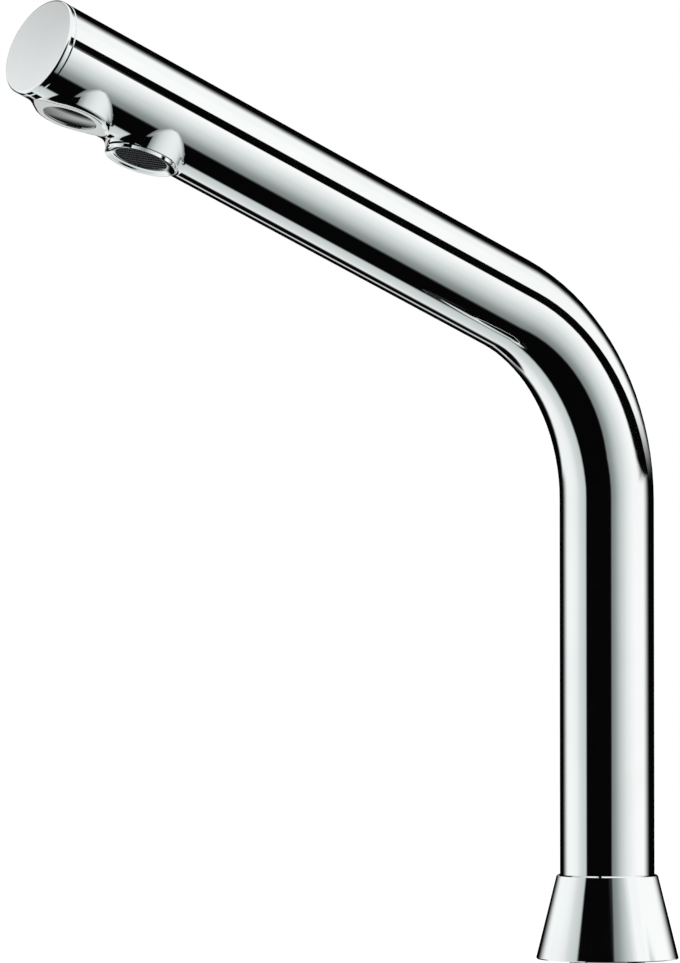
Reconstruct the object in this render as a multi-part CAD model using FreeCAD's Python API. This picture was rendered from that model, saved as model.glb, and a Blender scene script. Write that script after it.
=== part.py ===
"""Sensor tap for a basin deck: a bent chrome tube on a conical base, with the sensor window and the
water outlet on the underside of its sloping arm, a solenoid valve in the foot of the column, and a
stud clamp under the deck.

Frame: millimetres, origin on the deck at the centre of the base, +Z up, and the arm reaches towards
-Y. Pieces of the head are drawn in the arm's own frame, where the arm is level and points along -Y
and its underside faces down, and are then laid along the sloping arm.
"""
import FreeCAD
import Part
import math
import os

from FreeCAD import Placement, Rotation, Vector

# ---------------------------------------------------------------- driving sizes: spout tube
tube_od = 32.0
tube_wall = 1.5
column_height = 155.5  # from the deck to the start of the bend
bend_radius = 70.0  # on the tube's centre line
arm_rise = 20.7  # degrees above level
arm_length = 205.0  # from the end of the bend to the face of the end cap
seam_break = 0.25  # edge break on each side of the cap's seam

# bosses under the arm
boss_od = 24.2  # at the tube's bottom line
boss_flank_inset = 1.8  # its flanks run up to this far inside the tube's sides
boss_flank_depth = 6.0  # below the tube's axis, where they reach that width
boss_blend = 2.6  # radius of the hollow between a boss and the tube
boss_rough = 6.0  # how far a boss stands out before it is faced
sensor_from_end = 19.5
sensor_boss_stand = 0.1  # how far the boss stands below the tube
sensor_boss_edge = 1.8
sensor_lip = 0.7
boss_edge_wall = 0.4  # least flat round the window's seat
outlet_from_end = 49.5
outlet_boss_stand = 0.4
outlet_boss_edge = 0.15

# end cap
cap_thickness = 2.6
cap_edge = 0.9
cap_crown = 0.35  # how far the middle of its face stands out
cap_plug_length = 6.4
cap_recess_r = 10.0
cap_recess_depth = 5.0
cap_ring_width = 1.8
cap_groove_depth = 1.7

# base
base_foot_d = 48.4
base_top_d = 34.2
base_height = 28.5
base_top_edge = 0.45
base_foot_edge = 0.4
tube_seat_depth = 12.0
base_hollow = 1.0  # the middle of the underside is this far above the deck
gasket_outer_r = 22.5
gasket_width = 3.8
gasket_thickness = 2.0
grub_r = 2.0
grub_dimple = 0.3
grub_recess = 0.4  # its outer end lies this far under the cone
grub_above_floor = 6.0
grub_socket_across = 2.0
grub_socket_depth = 1.2

# fixing under the deck
stud_r = 3.0
stud_offset = 13.0
stud_in_base = 11.0
stud_below_deck = 62.0
deck_thickness = 20.0
clamp_r = 26.0
clamp_plate_thickness = 2.5
clamp_pad_thickness = 2.0
clamp_slot_half = 8.0
clamp_slot_back = 6.0
washer_r = 4.9
washer_thickness = 1.2
nut_across_flats = 10.0
nut_height = 8.0
nut_corner_break = 0.3
stud_point = 0.5
clamp_corner = 2.0

# water inlet and check valve
inlet_r = 7.5
inlet_depth = 8.0
filter_thickness = 0.8
filter_pitch = 1.6
filter_web = 0.5
filter_rim = 0.7
cartridge_r = 6.05
cartridge_wall = 1.85
cartridge_ring_width = 1.4
cartridge_groove_depth = 1.25
check_seat_r = 3.0
check_seat_thickness = 1.2
poppet_thickness = 1.6
stem_r = 1.0
stem_length = 6.7
poppet_bevel = 0.6
poppet_side_gap = 0.3
guide_below_stem = 1.0  # how far the stem stands into its guide
guide_thickness = 1.8
guide_spoke = 1.2
guide_hub = 1.0
check_travel = 2.2
stem_headroom = 0.5
check_spring_r = 2.6
check_wire_r = 0.25
check_spring_turns = 4

# solenoid valve
valve_block_height = 21.5
coil_offset = 5.5  # the coil stands this far towards the front
piston_r = 6.35
piston_height = 2.8
piston_skirt = 1.0
piston_edge = 0.9
piston_travel = 1.35
piston_headroom = 0.6
pilot_r = 0.5
seat_outer_r = 3.2
seat_bore_r = 2.2
seat_height = 3.0
valve_pocket_depth = 6.0
feed_r = 1.4
feed_x = 3.8
feed_y = 2.8
cross_bore_r = 1.8
cross_bore_drop = 10.5
cover_height = 4.0
cover_back = 2.9
cover_screw_x = 10.2
cover_screw_y = 4.5
cover_floor = 0.4  # between the piston's room and the core tube
screw_r = 1.25
screw_head_r = 1.9
screw_head_height = 1.6
screw_grip = 5.0
screw_socket_across = 2.0
screw_socket_depth = 1.0
plunger_r = 2.6
plunger_nose_r = 1.2
plunger_nose_height = 1.0
plunger_length = 12.4
plunger_travel = 1.8
core_tube_wall = 0.7
fixed_core_length = 6.0
plunger_bore_r = 1.55
plunger_bore_depth = 5.0
plunger_wire_r = 0.2
plunger_spring_turns = 5
coil_r = 6.8
can_wall = 0.6
can_top = 1.2
bobbin_wall = 0.7
magnet_r = 4.4
magnet_height = 2.0
coil_cap_height = 1.6
coil_cap_edge = 0.5
coil_lead_socket = 1.0
coil_lead_rise = 3.0

# water hose and leads
hose_offset = 7.8  # towards the outside of the bend
hose_r = 4.0
hose_bore_r = 2.5
barb_length = 9.0
barb_bore_r = 1.8
ferrule_wall = 0.45
ferrule_length = 7.0
ferrule_from_end = 1.0
sensor_lead_r = 1.6
coil_lead_r = 1.3
lead_exit_x = 11.5  # in the base
lead_run_x = 8.5  # in the arm
lead_entry_x = 6.0  # at the sensor
lead_shift_length = 24.0
lead_turn_in_length = 10.0
lead_in_housing = 2.5
lead_hole_r = 2.75
grommet_length = 5.0
grommet_flange = 0.8

# sensor
window_r = 9.5
window_view_r = 8.75
window_recess = 0.3
window_thickness = 2.2
window_seal_height = 0.85
window_edge = 0.2
housing_height = 16.3
housing_wall = 1.3
housing_back = 5.0
board_thickness = 1.0
emitter_r = 1.5
receiver_r = 2.0
diode_offset = 4.2
diode_height = 5.0
diode_collar = 0.3
diode_collar_height = 1.0
baffle_thickness = 1.0
baffle_end_gap = 0.75
cradle_from_cap = 1.0
cradle_length = 26.0
cradle_rib = 2.0
cradle_pocket = 5.2

# outlet
elbow_r = 12.0
elbow_foot = 7.5  # below the arm's axis
socket_depth = 5.0
waterway_r = 5.0
waterway_top = 9.5
aerator_thread_r = 10.0
aerator_inset = 0.4  # its collar is this much smaller than the boss
aerator_flange = 1.35
aerator_gap = 0.05
aerator_edge = 0.15
aerator_groove = 0.15
aerator_rim = 0.35
aerator_sink_r = 9.6  # the small end of the countersink inside the rim
aerator_sink_depth = 1.0
aerator_bore_r = 9.0
aerator_mouth_r = 8.6
aerator_lip = 0.4
aerator_seal_thickness = 1.0
aerator_seal_width = 3.5
straightener_height = 3.4
straightener_pitch = 1.75
straightener_web = 0.4
straightener_rim = 0.45
jet_plate_height = 2.0
jet_hole_r = 0.6
jet_circle_r = 5.6
jet_count = 12
screen_height = 1.0
screen_pitch = 1.6
screen_web = 0.5
screen_rim = 0.8

# clearances
slide_gap = 0.05  # radial, between a plug and its bore
loose_gap = 0.25  # round pieces that drop into a bore
seat_gap = 0.1  # between stacked faces that must not bind
over = 1.0  # how far a cutter runs past what it cuts

# ---------------------------------------------------------------- sizes that follow
tube_r = tube_od / 2
bore_r = tube_r - tube_wall
boss_r = boss_od / 2
boss_flank_r = tube_r - boss_flank_inset
bend_turn = 90.0 - arm_rise
block_r = bore_r - loose_gap
tube_floor = base_height - tube_seat_depth
tube_foot = tube_floor + seat_gap
grub_z = tube_floor + grub_above_floor

pad_foot = -deck_thickness - clamp_pad_thickness
plate_foot = pad_foot - clamp_plate_thickness
washer_foot = plate_foot - washer_thickness
nut_foot = washer_foot - nut_height

bosses_apart = outlet_from_end - sensor_from_end - boss_od
boss_to_cap = sensor_from_end - boss_r - cap_thickness
blend_r = min(boss_blend, 0.45 * bosses_apart, 0.6 * boss_to_cap)
sensor_edge_r = min(sensor_boss_edge, boss_r - window_r - boss_edge_wall)

sensor_face = tube_r + sensor_boss_stand
outlet_face = tube_r + outlet_boss_stand
window_front = sensor_face - window_recess
window_back = window_front - window_thickness
window_step = sensor_face - sensor_lip - window_seal_height
housing_top = window_back - housing_height
board_face = housing_top + housing_back + seat_gap / 2 + board_thickness

inlet_floor = base_hollow + inlet_depth
filter_foot = inlet_floor + seat_gap
cartridge_foot = filter_foot + filter_thickness + seat_gap
cartridge_bore_r = cartridge_r + seat_gap
poppet_foot = cartridge_foot + check_seat_thickness + seat_gap
poppet_top = poppet_foot + poppet_thickness
guide_foot = poppet_top + stem_length - guide_below_stem
cartridge_top = poppet_top + stem_length + check_travel + stem_headroom

valve_top = tube_floor + valve_block_height
pocket_floor = valve_top - valve_pocket_depth
piston_foot = pocket_floor + seat_height + seat_gap
piston_top = piston_foot + piston_height
cross_bore_z = valve_top - cross_bore_drop
cover_top = valve_top + cover_height
cover_ceiling = piston_top + piston_travel + piston_headroom
plunger_foot = piston_top + seat_gap
plunger_top = plunger_foot + plunger_length
core_tube_foot = cover_ceiling + cover_floor
core_tube_r = plunger_r + slide_gap + core_tube_wall
fixed_core_foot = plunger_top + plunger_travel + slide_gap
core_tube_top = fixed_core_foot + fixed_core_length
coil_foot = cover_top + seat_gap
magnet_foot = core_tube_top + seat_gap
coil_top = magnet_foot + magnet_height + seat_gap
coil_cap_top = coil_top + coil_cap_height
barb_r = hose_bore_r - slide_gap / 2

aerator_r = boss_r - aerator_inset
aerator_top = outlet_face + aerator_gap
aerator_foot = aerator_top + aerator_flange
socket_floor = elbow_foot - socket_depth
straightener_foot = aerator_foot - aerator_sink_depth - aerator_lip
straightener_top = straightener_foot - straightener_height
jet_plate_top = straightener_top - jet_plate_height
screen_top = jet_plate_top - screen_height

ARM = Placement(
    Vector(
        0,
        bend_radius * (math.cos(math.radians(bend_turn)) - 1),
        column_height + bend_radius * math.sin(math.radians(bend_turn)),
    ),
    Rotation(Vector(1, 0, 0), -arm_rise),
)


# ---------------------------------------------------------------- shared shapes
def cyl(radius, z0, z1, x=0.0, y=0.0):
    """An upright cylinder from z0 to z1."""
    return Part.makeCylinder(radius, z1 - z0, Vector(x, y, z0))


def cyl_back(radius, y0, y1, x=0.0, z=0.0):
    """A level cylinder along +Y from y0 to y1."""
    return Part.makeCylinder(radius, y1 - y0, Vector(x, y0, z), Vector(0, 1, 0))


def ring(outer, inner, z0, z1, x=0.0, y=0.0):
    """An upright tube from z0 to z1."""
    return cyl(outer, z0, z1, x, y).cut(cyl(inner, z0, z1, x, y))


def turned(profile):
    """A solid of revolution about Z from (radius, height) points."""
    points = [Vector(r, 0, z) for r, z in profile]
    face = Part.Face(Part.makePolygon(points + points[:1]))
    return face.revolve(Vector(0, 0, 0), Vector(0, 0, 1), 360)


def seal_ring(outer, depth, middle, width):
    """A square-cut rubber ring that lies in a groove of a given depth and width, halfway up at middle."""
    half = width / 2 - slide_gap
    return ring(outer, outer - depth + slide_gap, middle - half, middle + half)


def groove_cut(outer, depth, middle, width):
    """What turning a groove takes from a round piece."""
    return ring(outer + over, outer - depth, middle - width / 2, middle + width / 2)


def end_circles(shape, z):
    """The circular edges of a shape at a height."""
    return [e for e in shape.Edges if isinstance(e.Curve, Part.Circle) and abs(e.CenterOfMass.z - z) < 0.01]


def hexagon(across_flats, z0, z1, x=0.0, y=0.0):
    """An upright hexagonal bar from z0 to z1."""
    corner_r = across_flats / math.sqrt(3)
    angles = [math.radians(60 * i) for i in range(6)]
    points = [Vector(x + corner_r * math.cos(a), y + corner_r * math.sin(a), z0) for a in angles]
    return Part.Face(Part.makePolygon(points + points[:1])).extrude(Vector(0, 0, z1 - z0))


def grid_disc(radius, rim, pitch, web, z0, z1):
    """A disc with a grid of square holes inside a plain rim."""
    cell = pitch - web
    reach = radius - rim - cell * math.sqrt(0.5)
    count = int(reach / pitch)
    steps = [i * pitch for i in range(-count, count + 1)]
    corners = [
        Vector(x - cell / 2, y - cell / 2, z0) for x in steps for y in steps if math.hypot(x, y) <= reach
    ]
    return cyl(radius, z0, z1).cut([Part.makeBox(cell, cell, z1 - z0, corner) for corner in corners])


def on_arm(shape):
    """Lays a piece drawn in the level arm's frame along the sloping arm."""
    placed = shape.copy()
    placed.Placement = ARM.multiply(placed.Placement)
    return placed


def station(from_end):
    """The level arm's Y for a distance back from the face of the end cap."""
    return from_end - arm_length


def at_station(shape, from_end):
    """Moves a piece drawn about the origin to its place along the level arm."""
    moved = shape.copy()
    moved.translate(Vector(0, station(from_end), 0))
    return moved


def arc_middle(start, tangent, end):
    """The middle point of the arc that leaves start along tangent and reaches end."""
    chord = end - start
    along = Vector(chord).normalize()
    side = tangent - along * tangent.dot(along)
    half_turn = math.atan2(side.Length, tangent.dot(along))
    rise = chord.Length / 2 * math.tan(half_turn / 2)
    return start + chord / 2 + side.normalize() * rise


def helix_edges(radius, z0, z1, turns):
    """A helix about Z as pairs of arcs, each pair half a turn, smooth at every joint."""
    steps = 2 * turns
    slope = (z1 - z0) / (2 * math.pi * turns)
    points, tangents = [], []
    for i in range(steps + 1):
        a = 2 * math.pi * turns * i / steps
        points.append(Vector(radius * math.cos(a), radius * math.sin(a), z0 + slope * a))
        tangents.append(Vector(-radius * math.sin(a), radius * math.cos(a), slope).normalize())
    edges = []
    for p0, p1, t0, t1 in zip(points, points[1:], tangents, tangents[1:]):
        span, both = p1 - p0, t0 + t1
        spread = 2 * (1 - t0.dot(t1))
        across = span.dot(both)
        reach = (math.sqrt(across**2 + spread * span.dot(span)) - across) / spread
        joint = (p0 + t0 * reach + p1 - t1 * reach) / 2
        edges.append(Part.Arc(p0, arc_middle(p0, t0, joint), joint).toShape())
        edges.append(Part.Arc(joint, arc_middle(p1, t1 * -1, joint), p1).toShape())
    return edges


def spring(mean_r, wire_r, z0, z1, turns):
    """A coil spring that stands from z0 to z1."""
    low, high = z0 + wire_r, z1 - wire_r
    path = Part.Wire(helix_edges(mean_r, low, high, turns))
    rise = (high - low) / turns
    gap = rise - 2 * wire_r
    print(f"spring of radius {mean_r}: gap between turns {gap:.2f} mm")
    start = Vector(mean_r, 0, low)
    heading = Vector(0, 2 * math.pi * mean_r, rise)
    section = Part.Wire(Part.makeCircle(wire_r, start, heading))
    return path.makePipeShell([section], True, False)


def swept(edges, radius):
    """A round solid along a smooth chain of edges."""
    path = Part.Wire(edges)
    first = edges[0]
    start = first.valueAt(first.FirstParameter)
    heading = first.tangentAt(first.FirstParameter)
    section = Part.Wire(Part.makeCircle(radius, start, heading))
    solid = path.makePipeShell([section], True, False)
    expected = math.pi * radius**2 * path.Length
    print(f"sweep of radius {radius}: volume {solid.Volume:.1f}, expected {expected:.1f}")
    return solid


def line(a, b):
    """A straight edge."""
    return Part.LineSegment(a, b).toShape()


def side_shift(start, heading, sideways, length):
    """Two arcs that move a path sideways by a vector over a length and keep its heading."""
    end = start + heading * length + sideways
    middle = (start + end) / 2
    first = Part.Arc(start, arc_middle(start, heading, middle), middle).toShape()
    second = Part.Arc(middle, arc_middle(end, heading * -1, middle), end).toShape()
    return [first, second], end


def bend_arc(offset, x=0.0):
    """The bend's arc for a run that lies offset outside the tube's centre line."""
    radius = bend_radius + offset

    def at(turn):
        a = math.radians(turn)
        return Vector(x, radius * math.cos(a) - bend_radius, column_height + radius * math.sin(a))

    return Part.Arc(at(0), at(bend_turn / 2), at(bend_turn)).toShape()


def tube_run(radius, foot, end_station):
    """A round solid along the column, the bend and the arm."""
    column = cyl(radius, foot, column_height)
    section = Part.Face(Part.Wire(Part.makeCircle(radius, Vector(0, 0, column_height))))
    centre = Vector(0, -bend_radius, column_height)
    bend = section.revolve(centre, Vector(1, 0, 0), bend_turn)
    arm = on_arm(cyl_back(radius, end_station, 0))
    return column.fuse([bend, arm]).removeSplitter()


# ---------------------------------------------------------------- spout tube
def boss_half_width(depth):
    """Half a boss's width across the tube at a depth below the tube's axis. Along the tube it is boss_r."""
    return boss_r + (boss_flank_r - boss_r) * (tube_r - depth) / (tube_r - boss_flank_depth)


def boss_blank():
    """A boss before it is faced: round at the tube's bottom, and wider where it runs into the flanks."""
    quarters = [Part.makeCircle(1, Vector(), Vector(0, 0, 1), turn, turn + 90) for turn in range(0, 360, 90)]
    outlines = []
    for depth in (tube_r + boss_rough, boss_flank_depth):
        stretch = FreeCAD.Matrix()
        stretch.scale(boss_half_width(depth), boss_r, 1)
        outline = Part.Wire(quarters).transformGeometry(stretch)
        outlines.append(outline.translated(Vector(0, 0, -depth)))
    return Part.makeLoft(outlines, True, True)


def saddle_edges(shape, from_end):
    """The edges where a boss meets the tube, found by their place on both skins."""
    found = []
    to_level = ARM.inverse()
    for edge in shape.Edges:
        on_both = True
        for share in (0.15, 0.5, 0.85):
            span = edge.LastParameter - edge.FirstParameter
            p = to_level.multVec(edge.valueAt(edge.FirstParameter + share * span))
            off_tube = math.hypot(p.x, p.z) / tube_r - 1
            off_boss = math.hypot(p.x / boss_half_width(-p.z), (p.y - station(from_end)) / boss_r) - 1
            on_both = on_both and abs(off_tube) < 0.01 and abs(off_boss) < 0.01
        if on_both:
            found.append(edge)
    return found


def faced_boss(body, from_end, face, edge):
    """Faces a boss square to the arm and rounds the edge of its face."""
    beyond = cyl(2 * boss_r, -face - boss_rough - over, -face)
    body = body.cut(on_arm(at_station(beyond, from_end)))
    to_level = ARM.inverse()
    middle = Vector(0, station(from_end), -face)
    flats = [f for f in body.Faces if isinstance(f.Surface, Part.Plane)]
    foot = min(flats, key=lambda f: (to_level.multVec(f.CenterOfMass) - middle).Length)
    return body.makeFillet(edge, foot.OuterWire.Edges)


def spout_tube():
    """The bent tube with the sensor boss and the outlet boss blended into its underside."""
    tube_end = station(cap_thickness + seat_gap / 2)
    body = tube_run(tube_r, tube_foot, tube_end)
    for from_end in (sensor_from_end, outlet_from_end):
        body = body.fuse(on_arm(at_station(boss_blank(), from_end)))
    body = body.removeSplitter()
    for from_end in (sensor_from_end, outlet_from_end):
        body = body.makeFillet(blend_r, saddle_edges(body, from_end))
    body = faced_boss(body, sensor_from_end, sensor_face, sensor_edge_r)
    body = faced_boss(body, outlet_from_end, outlet_face, outlet_boss_edge)
    body = body.cut(tube_run(bore_r, tube_foot, tube_end - over))
    pocket = cyl(window_r + slide_gap, sensor_lip - sensor_face, 0)
    view = cyl(window_view_r, -sensor_face - over, 0)
    body = body.cut(on_arm(at_station(pocket.fuse(view), sensor_from_end)))
    thread = cyl(aerator_thread_r + slide_gap, -outlet_face - over, 0)
    body = body.cut(on_arm(at_station(thread, outlet_from_end)))
    edge_start = Vector(0, tube_end, 0)
    rim = Part.makeCone(tube_r - seam_break, tube_r, seam_break, edge_start, Vector(0, 1, 0))
    collar = cyl_back(tube_r + over, tube_end, tube_end + seam_break).cut(rim)
    body = body.cut(on_arm(collar))
    dimple = cyl_back(grub_r + slide_gap, tube_r - grub_dimple, tube_r + over, z=grub_z)
    return body.cut(dimple)


def crowned_disc(radius, crown, top):
    """A disc from 0 up to top whose lower face is crowned. Its rim starts at the height crown."""
    ball_r = (radius**2 + crown**2) / (2 * crown)
    ball = Part.makeSphere(ball_r, Vector(0, 0, ball_r), Vector(1, 0, 0))
    return cyl(radius, 0, top).common(ball)


def end_cap():
    """The slightly crowned cap that closes the arm, with its plug and ring groove."""
    plug_r = bore_r - slide_gap
    middle = cap_thickness + cap_plug_length / 2
    flange = crowned_disc(tube_r, cap_crown, cap_thickness)
    flange = flange.makeFillet(cap_edge, end_circles(flange, cap_crown))
    flange = flange.makeChamfer(seam_break, end_circles(flange, cap_thickness))
    top = cap_thickness + cap_plug_length
    plug = cyl(plug_r, cap_thickness, top).cut(groove_cut(plug_r, cap_groove_depth, middle, cap_ring_width))
    cap = flange.fuse(plug).removeSplitter().cut(cyl(cap_recess_r, top - cap_recess_depth, top))
    return on_arm(along_arm(cap))


def along_arm(shape):
    """Turns a piece drawn upwards from the cap's face so that it lies back along the arm."""
    laid = shape.copy()
    turn = Placement(Vector(0, station(0), 0), Rotation(Vector(1, 0, 0), -90))
    laid.Placement = turn.multiply(laid.Placement)
    return laid


def cap_seal():
    """The ring in the cap's groove."""
    middle = cap_thickness + cap_plug_length / 2
    return on_arm(along_arm(seal_ring(bore_r - slide_gap, cap_groove_depth, middle, cap_ring_width)))


# ---------------------------------------------------------------- base and deck fixing
def base_outer_r(z):
    """The cone's radius at a height."""
    return base_foot_d / 2 + (base_top_d - base_foot_d) / 2 * z / base_height


def base_body():
    """The conical foot, with its tube seat, water inlet, stud holes and lead exits."""
    foot_r = base_foot_d / 2
    top_r = base_top_d / 2
    shell = turned([
        (0, 0),
        (foot_r - base_foot_edge, 0),
        (base_outer_r(base_foot_edge), base_foot_edge),
        (base_outer_r(base_height - base_top_edge), base_height - base_top_edge),
        (top_r - base_top_edge, base_height),
        (0, base_height),
    ])
    groove_inner = gasket_outer_r - gasket_width
    cuts = [
        cyl(tube_r + slide_gap, tube_floor, base_height),
        cyl(groove_inner - slide_gap, 0, base_hollow),
        ring(gasket_outer_r + slide_gap, groove_inner - slide_gap, 0, gasket_thickness),
        cyl(inlet_r, base_hollow, inlet_floor),
        cyl(cartridge_bore_r, inlet_floor, tube_floor),
        cyl_back(grub_r + slide_gap, tube_r - over, foot_r, z=grub_z),
    ]
    for side in (-1, 1):
        cuts.append(cyl(stud_r + slide_gap, 0, base_hollow + stud_in_base + seat_gap, y=side * stud_offset))
        cuts.append(cyl(lead_hole_r, 0, tube_floor, x=side * lead_exit_x))
    for cut in cuts:
        shell = shell.cut(cut)
    return shell


def base_gasket():
    """The flat rubber ring that meets the deck."""
    return ring(gasket_outer_r, gasket_outer_r - gasket_width, 0, gasket_thickness)


def grub_screw():
    """The socket set screw at the back of the base that holds the tube."""
    tip = tube_r - grub_dimple + slide_gap
    length = base_outer_r(grub_z + grub_r) - grub_recess - tip
    screw = cyl(grub_r, 0, length)
    socket = hexagon(grub_socket_across, length - grub_socket_depth, length)
    screw = screw.cut(socket)
    screw.Placement = Placement(Vector(0, tip, grub_z), Rotation(Vector(1, 0, 0), -90))
    return screw


def fixing_studs():
    """Two studs that screw into the base."""
    top = base_hollow + stud_in_base
    studs = []
    for side in (-1, 1):
        stud = cyl(stud_r, -stud_below_deck, top, y=side * stud_offset)
        ends = end_circles(stud, top) + end_circles(stud, -stud_below_deck)
        studs.append(stud.makeChamfer(stud_point, ends))
    return Part.makeCompound(studs)


def clamp_outline(z0, z1):
    """The horseshoe outline that the clamp plate and its pad share."""
    plate = cyl(clamp_r, z0, z1)
    slot = cyl(clamp_slot_half, z0, z1, x=-clamp_slot_back)
    corner = Vector(-clamp_slot_back, -clamp_slot_half, z0)
    mouth = Part.makeBox(clamp_r + clamp_slot_back, 2 * clamp_slot_half, z1 - z0, corner)
    plate = plate.cut(slot.fuse(mouth))
    for side in (-1, 1):
        plate = plate.cut(cyl(stud_r + loose_gap, z0, z1, y=side * stud_offset))
    return plate


def clamp_pad():
    """The rubber pad that meets the underside of the deck."""
    return clamp_outline(pad_foot, -deck_thickness)


def clamp_plate():
    """The steel horseshoe plate."""
    plate = clamp_outline(plate_foot, pad_foot)
    upright = [e for e in plate.Edges if is_slot_corner(e)]
    return plate.makeFillet(clamp_corner, upright)


def is_slot_corner(edge):
    """Whether an edge is an upright corner at the mouth of the horseshoe's slot."""
    p, q = edge.Vertexes[0].Point, edge.Vertexes[-1].Point
    upright = abs(p.x - q.x) < 1e-6 and abs(p.y - q.y) < 1e-6 and abs(p.z - q.z) > 1e-3
    at_mouth = abs(abs(p.y) - clamp_slot_half) < 1e-3 and p.x > clamp_slot_half
    return upright and at_mouth


def clamp_washers():
    """A plain washer on each stud."""
    washer = ring(washer_r, stud_r + loose_gap, washer_foot, plate_foot)
    return Part.makeCompound([washer.translated(Vector(0, side * stud_offset, 0)) for side in (-1, 1)])


def clamp_nuts():
    """A long hexagon nut on each stud, with its corners turned off."""
    nuts = []
    corner_r = nut_across_flats / math.sqrt(3)
    bevel = corner_r - nut_across_flats / 2 + nut_corner_break
    for side in (-1, 1):
        y = side * stud_offset
        blank = hexagon(nut_across_flats, nut_foot, washer_foot, y=y)
        barrel = cyl(corner_r, nut_foot, washer_foot, y=y)
        ends = end_circles(barrel, nut_foot) + end_circles(barrel, washer_foot)
        barrel = barrel.makeChamfer(bevel / 2, ends)
        nut = blank.common(barrel).cut(cyl(stud_r + slide_gap, nut_foot, washer_foot, y=y))
        nuts.append(nut)
    return Part.makeCompound(nuts)


def lead_grommets():
    """A rubber grommet for each lead where it leaves the base."""
    grommets = []
    for side, lead_r in ((-1, sensor_lead_r), (1, coil_lead_r)):
        x = side * lead_exit_x
        sleeve = cyl(lead_hole_r - slide_gap, base_hollow, base_hollow + grommet_length, x=x)
        bore = cyl(lead_r + slide_gap, base_hollow + grommet_flange, base_hollow + grommet_length, x=x)
        grommets.append(sleeve.cut(bore))
    return Part.makeCompound(grommets)


# ---------------------------------------------------------------- inlet and check valve
def inlet_filter():
    """The perforated disc that keeps grit out of the valve."""
    top = filter_foot + filter_thickness
    return grid_disc(cartridge_bore_r - seat_gap, filter_rim, filter_pitch, filter_web, filter_foot, top)


def cartridge_ring_heights():
    """One ring in the base's bore and one in the valve block's, each halfway along its bore."""
    in_base = (cartridge_foot + tube_floor) / 2
    in_block = (tube_floor + cartridge_top) / 2
    return in_base, in_block


def check_cartridge():
    """The nipple between base and valve block that holds the check valve."""
    inner_r = cartridge_r - cartridge_wall
    body = cyl(cartridge_r, cartridge_foot, cartridge_top)
    body = body.cut(cyl(check_seat_r, cartridge_foot, cartridge_top))
    body = body.cut(cyl(inner_r, cartridge_foot + check_seat_thickness, cartridge_top))
    for z in cartridge_ring_heights():
        body = body.cut(groove_cut(cartridge_r, cartridge_groove_depth, z, cartridge_ring_width))
    spider = cyl(inner_r, guide_foot, guide_foot + guide_thickness)
    window = ring(inner_r, stem_r + guide_hub, guide_foot, guide_foot + guide_thickness)
    for angle in (0, 120, 240):
        corner = Vector(0, -guide_spoke / 2, guide_foot)
        spoke = Part.makeBox(inner_r + over, guide_spoke, guide_thickness, corner)
        spoke.rotate(Vector(0, 0, 0), Vector(0, 0, 1), angle)
        window = window.cut(spoke)
    spider = spider.cut(window)
    return body.fuse(spider).cut(cyl(stem_r + seat_gap, guide_foot, guide_foot + guide_thickness))


def cartridge_seals():
    """The two rings of the nipple."""
    depth, width = cartridge_groove_depth, cartridge_ring_width
    return Part.makeCompound([seal_ring(cartridge_r, depth, z, width) for z in cartridge_ring_heights()])


def check_poppet():
    """The poppet with its stem."""
    disc = cyl(cartridge_r - cartridge_wall - poppet_side_gap, poppet_foot, poppet_top)
    disc = disc.makeChamfer(poppet_bevel, end_circles(disc, poppet_foot))
    return disc.fuse(cyl(stem_r, poppet_top, poppet_top + stem_length))


def check_spring():
    """The spring that closes the poppet."""
    return spring(check_spring_r, check_wire_r, poppet_top, guide_foot, check_spring_turns)


# ---------------------------------------------------------------- solenoid valve
def lead_notches(z0, z1):
    """Open channels at both sides for the leads to pass a block in the column."""
    notches = []
    for side, lead_r in ((-1, sensor_lead_r), (1, coil_lead_r)):
        x = side * lead_exit_x
        radius = lead_r + loose_gap
        channel = cyl(radius, z0, z1, x=x)
        outward = Part.makeBox(bore_r, 2 * radius, z1 - z0, Vector(0, -radius, z0))
        if side < 0:
            outward.rotate(Vector(0, 0, 0), Vector(0, 0, 1), 180)
        outward.translate(Vector(x, 0, 0))
        notches.append(channel.fuse(outward))
    return notches


def valve_body():
    """The valve block on the base's floor: pocket, seat, waterways and the hose barb."""
    front = -coil_offset
    block = cyl(block_r, tube_floor, valve_top)
    pocket_r = piston_r + loose_gap
    block = block.cut(cyl(pocket_r, pocket_floor, valve_top, y=front))
    block = block.fuse(cyl(seat_outer_r, pocket_floor, pocket_floor + seat_height, y=front))
    barb = cyl(barb_r, valve_top, valve_top + barb_length, y=hose_offset)
    block = block.fuse(barb)
    cuts = [
        cyl(cartridge_bore_r, tube_floor, cartridge_top + seat_gap),
        cyl(feed_r, cartridge_top, pocket_floor, x=feed_x, y=-feed_y),
        cyl(seat_bore_r, cross_bore_z, pocket_floor + seat_height, y=front),
        cyl_back(cross_bore_r, front, hose_offset, z=cross_bore_z),
        cyl(barb_bore_r, cross_bore_z, valve_top + barb_length, y=hose_offset),
    ]
    for side in (-1, 1):
        x = side * cover_screw_x
        cuts.append(cyl(screw_r + slide_gap, valve_top - screw_grip, valve_top, x, -cover_screw_y))
    for cut in cuts + lead_notches(tube_floor, valve_top):
        block = block.cut(cut)
    return block


def valve_piston():
    """The servo piston that closes the main seat."""
    front = -coil_offset
    disc = cyl(piston_r, piston_foot, piston_top, y=front)
    low, high = piston_foot + piston_edge, piston_top - piston_edge
    groove = ring(piston_r + over, piston_r - piston_skirt, low, high, y=front)
    pilot = cyl(pilot_r, piston_foot, piston_top, y=front)
    return disc.cut(groove).cut(pilot)


def piston_seal():
    """The lip ring round the piston."""
    low, high = piston_foot + piston_edge + slide_gap, piston_top - piston_edge - slide_gap
    return ring(piston_r + slide_gap, piston_r - piston_skirt + slide_gap, low, high, y=-coil_offset)


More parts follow.
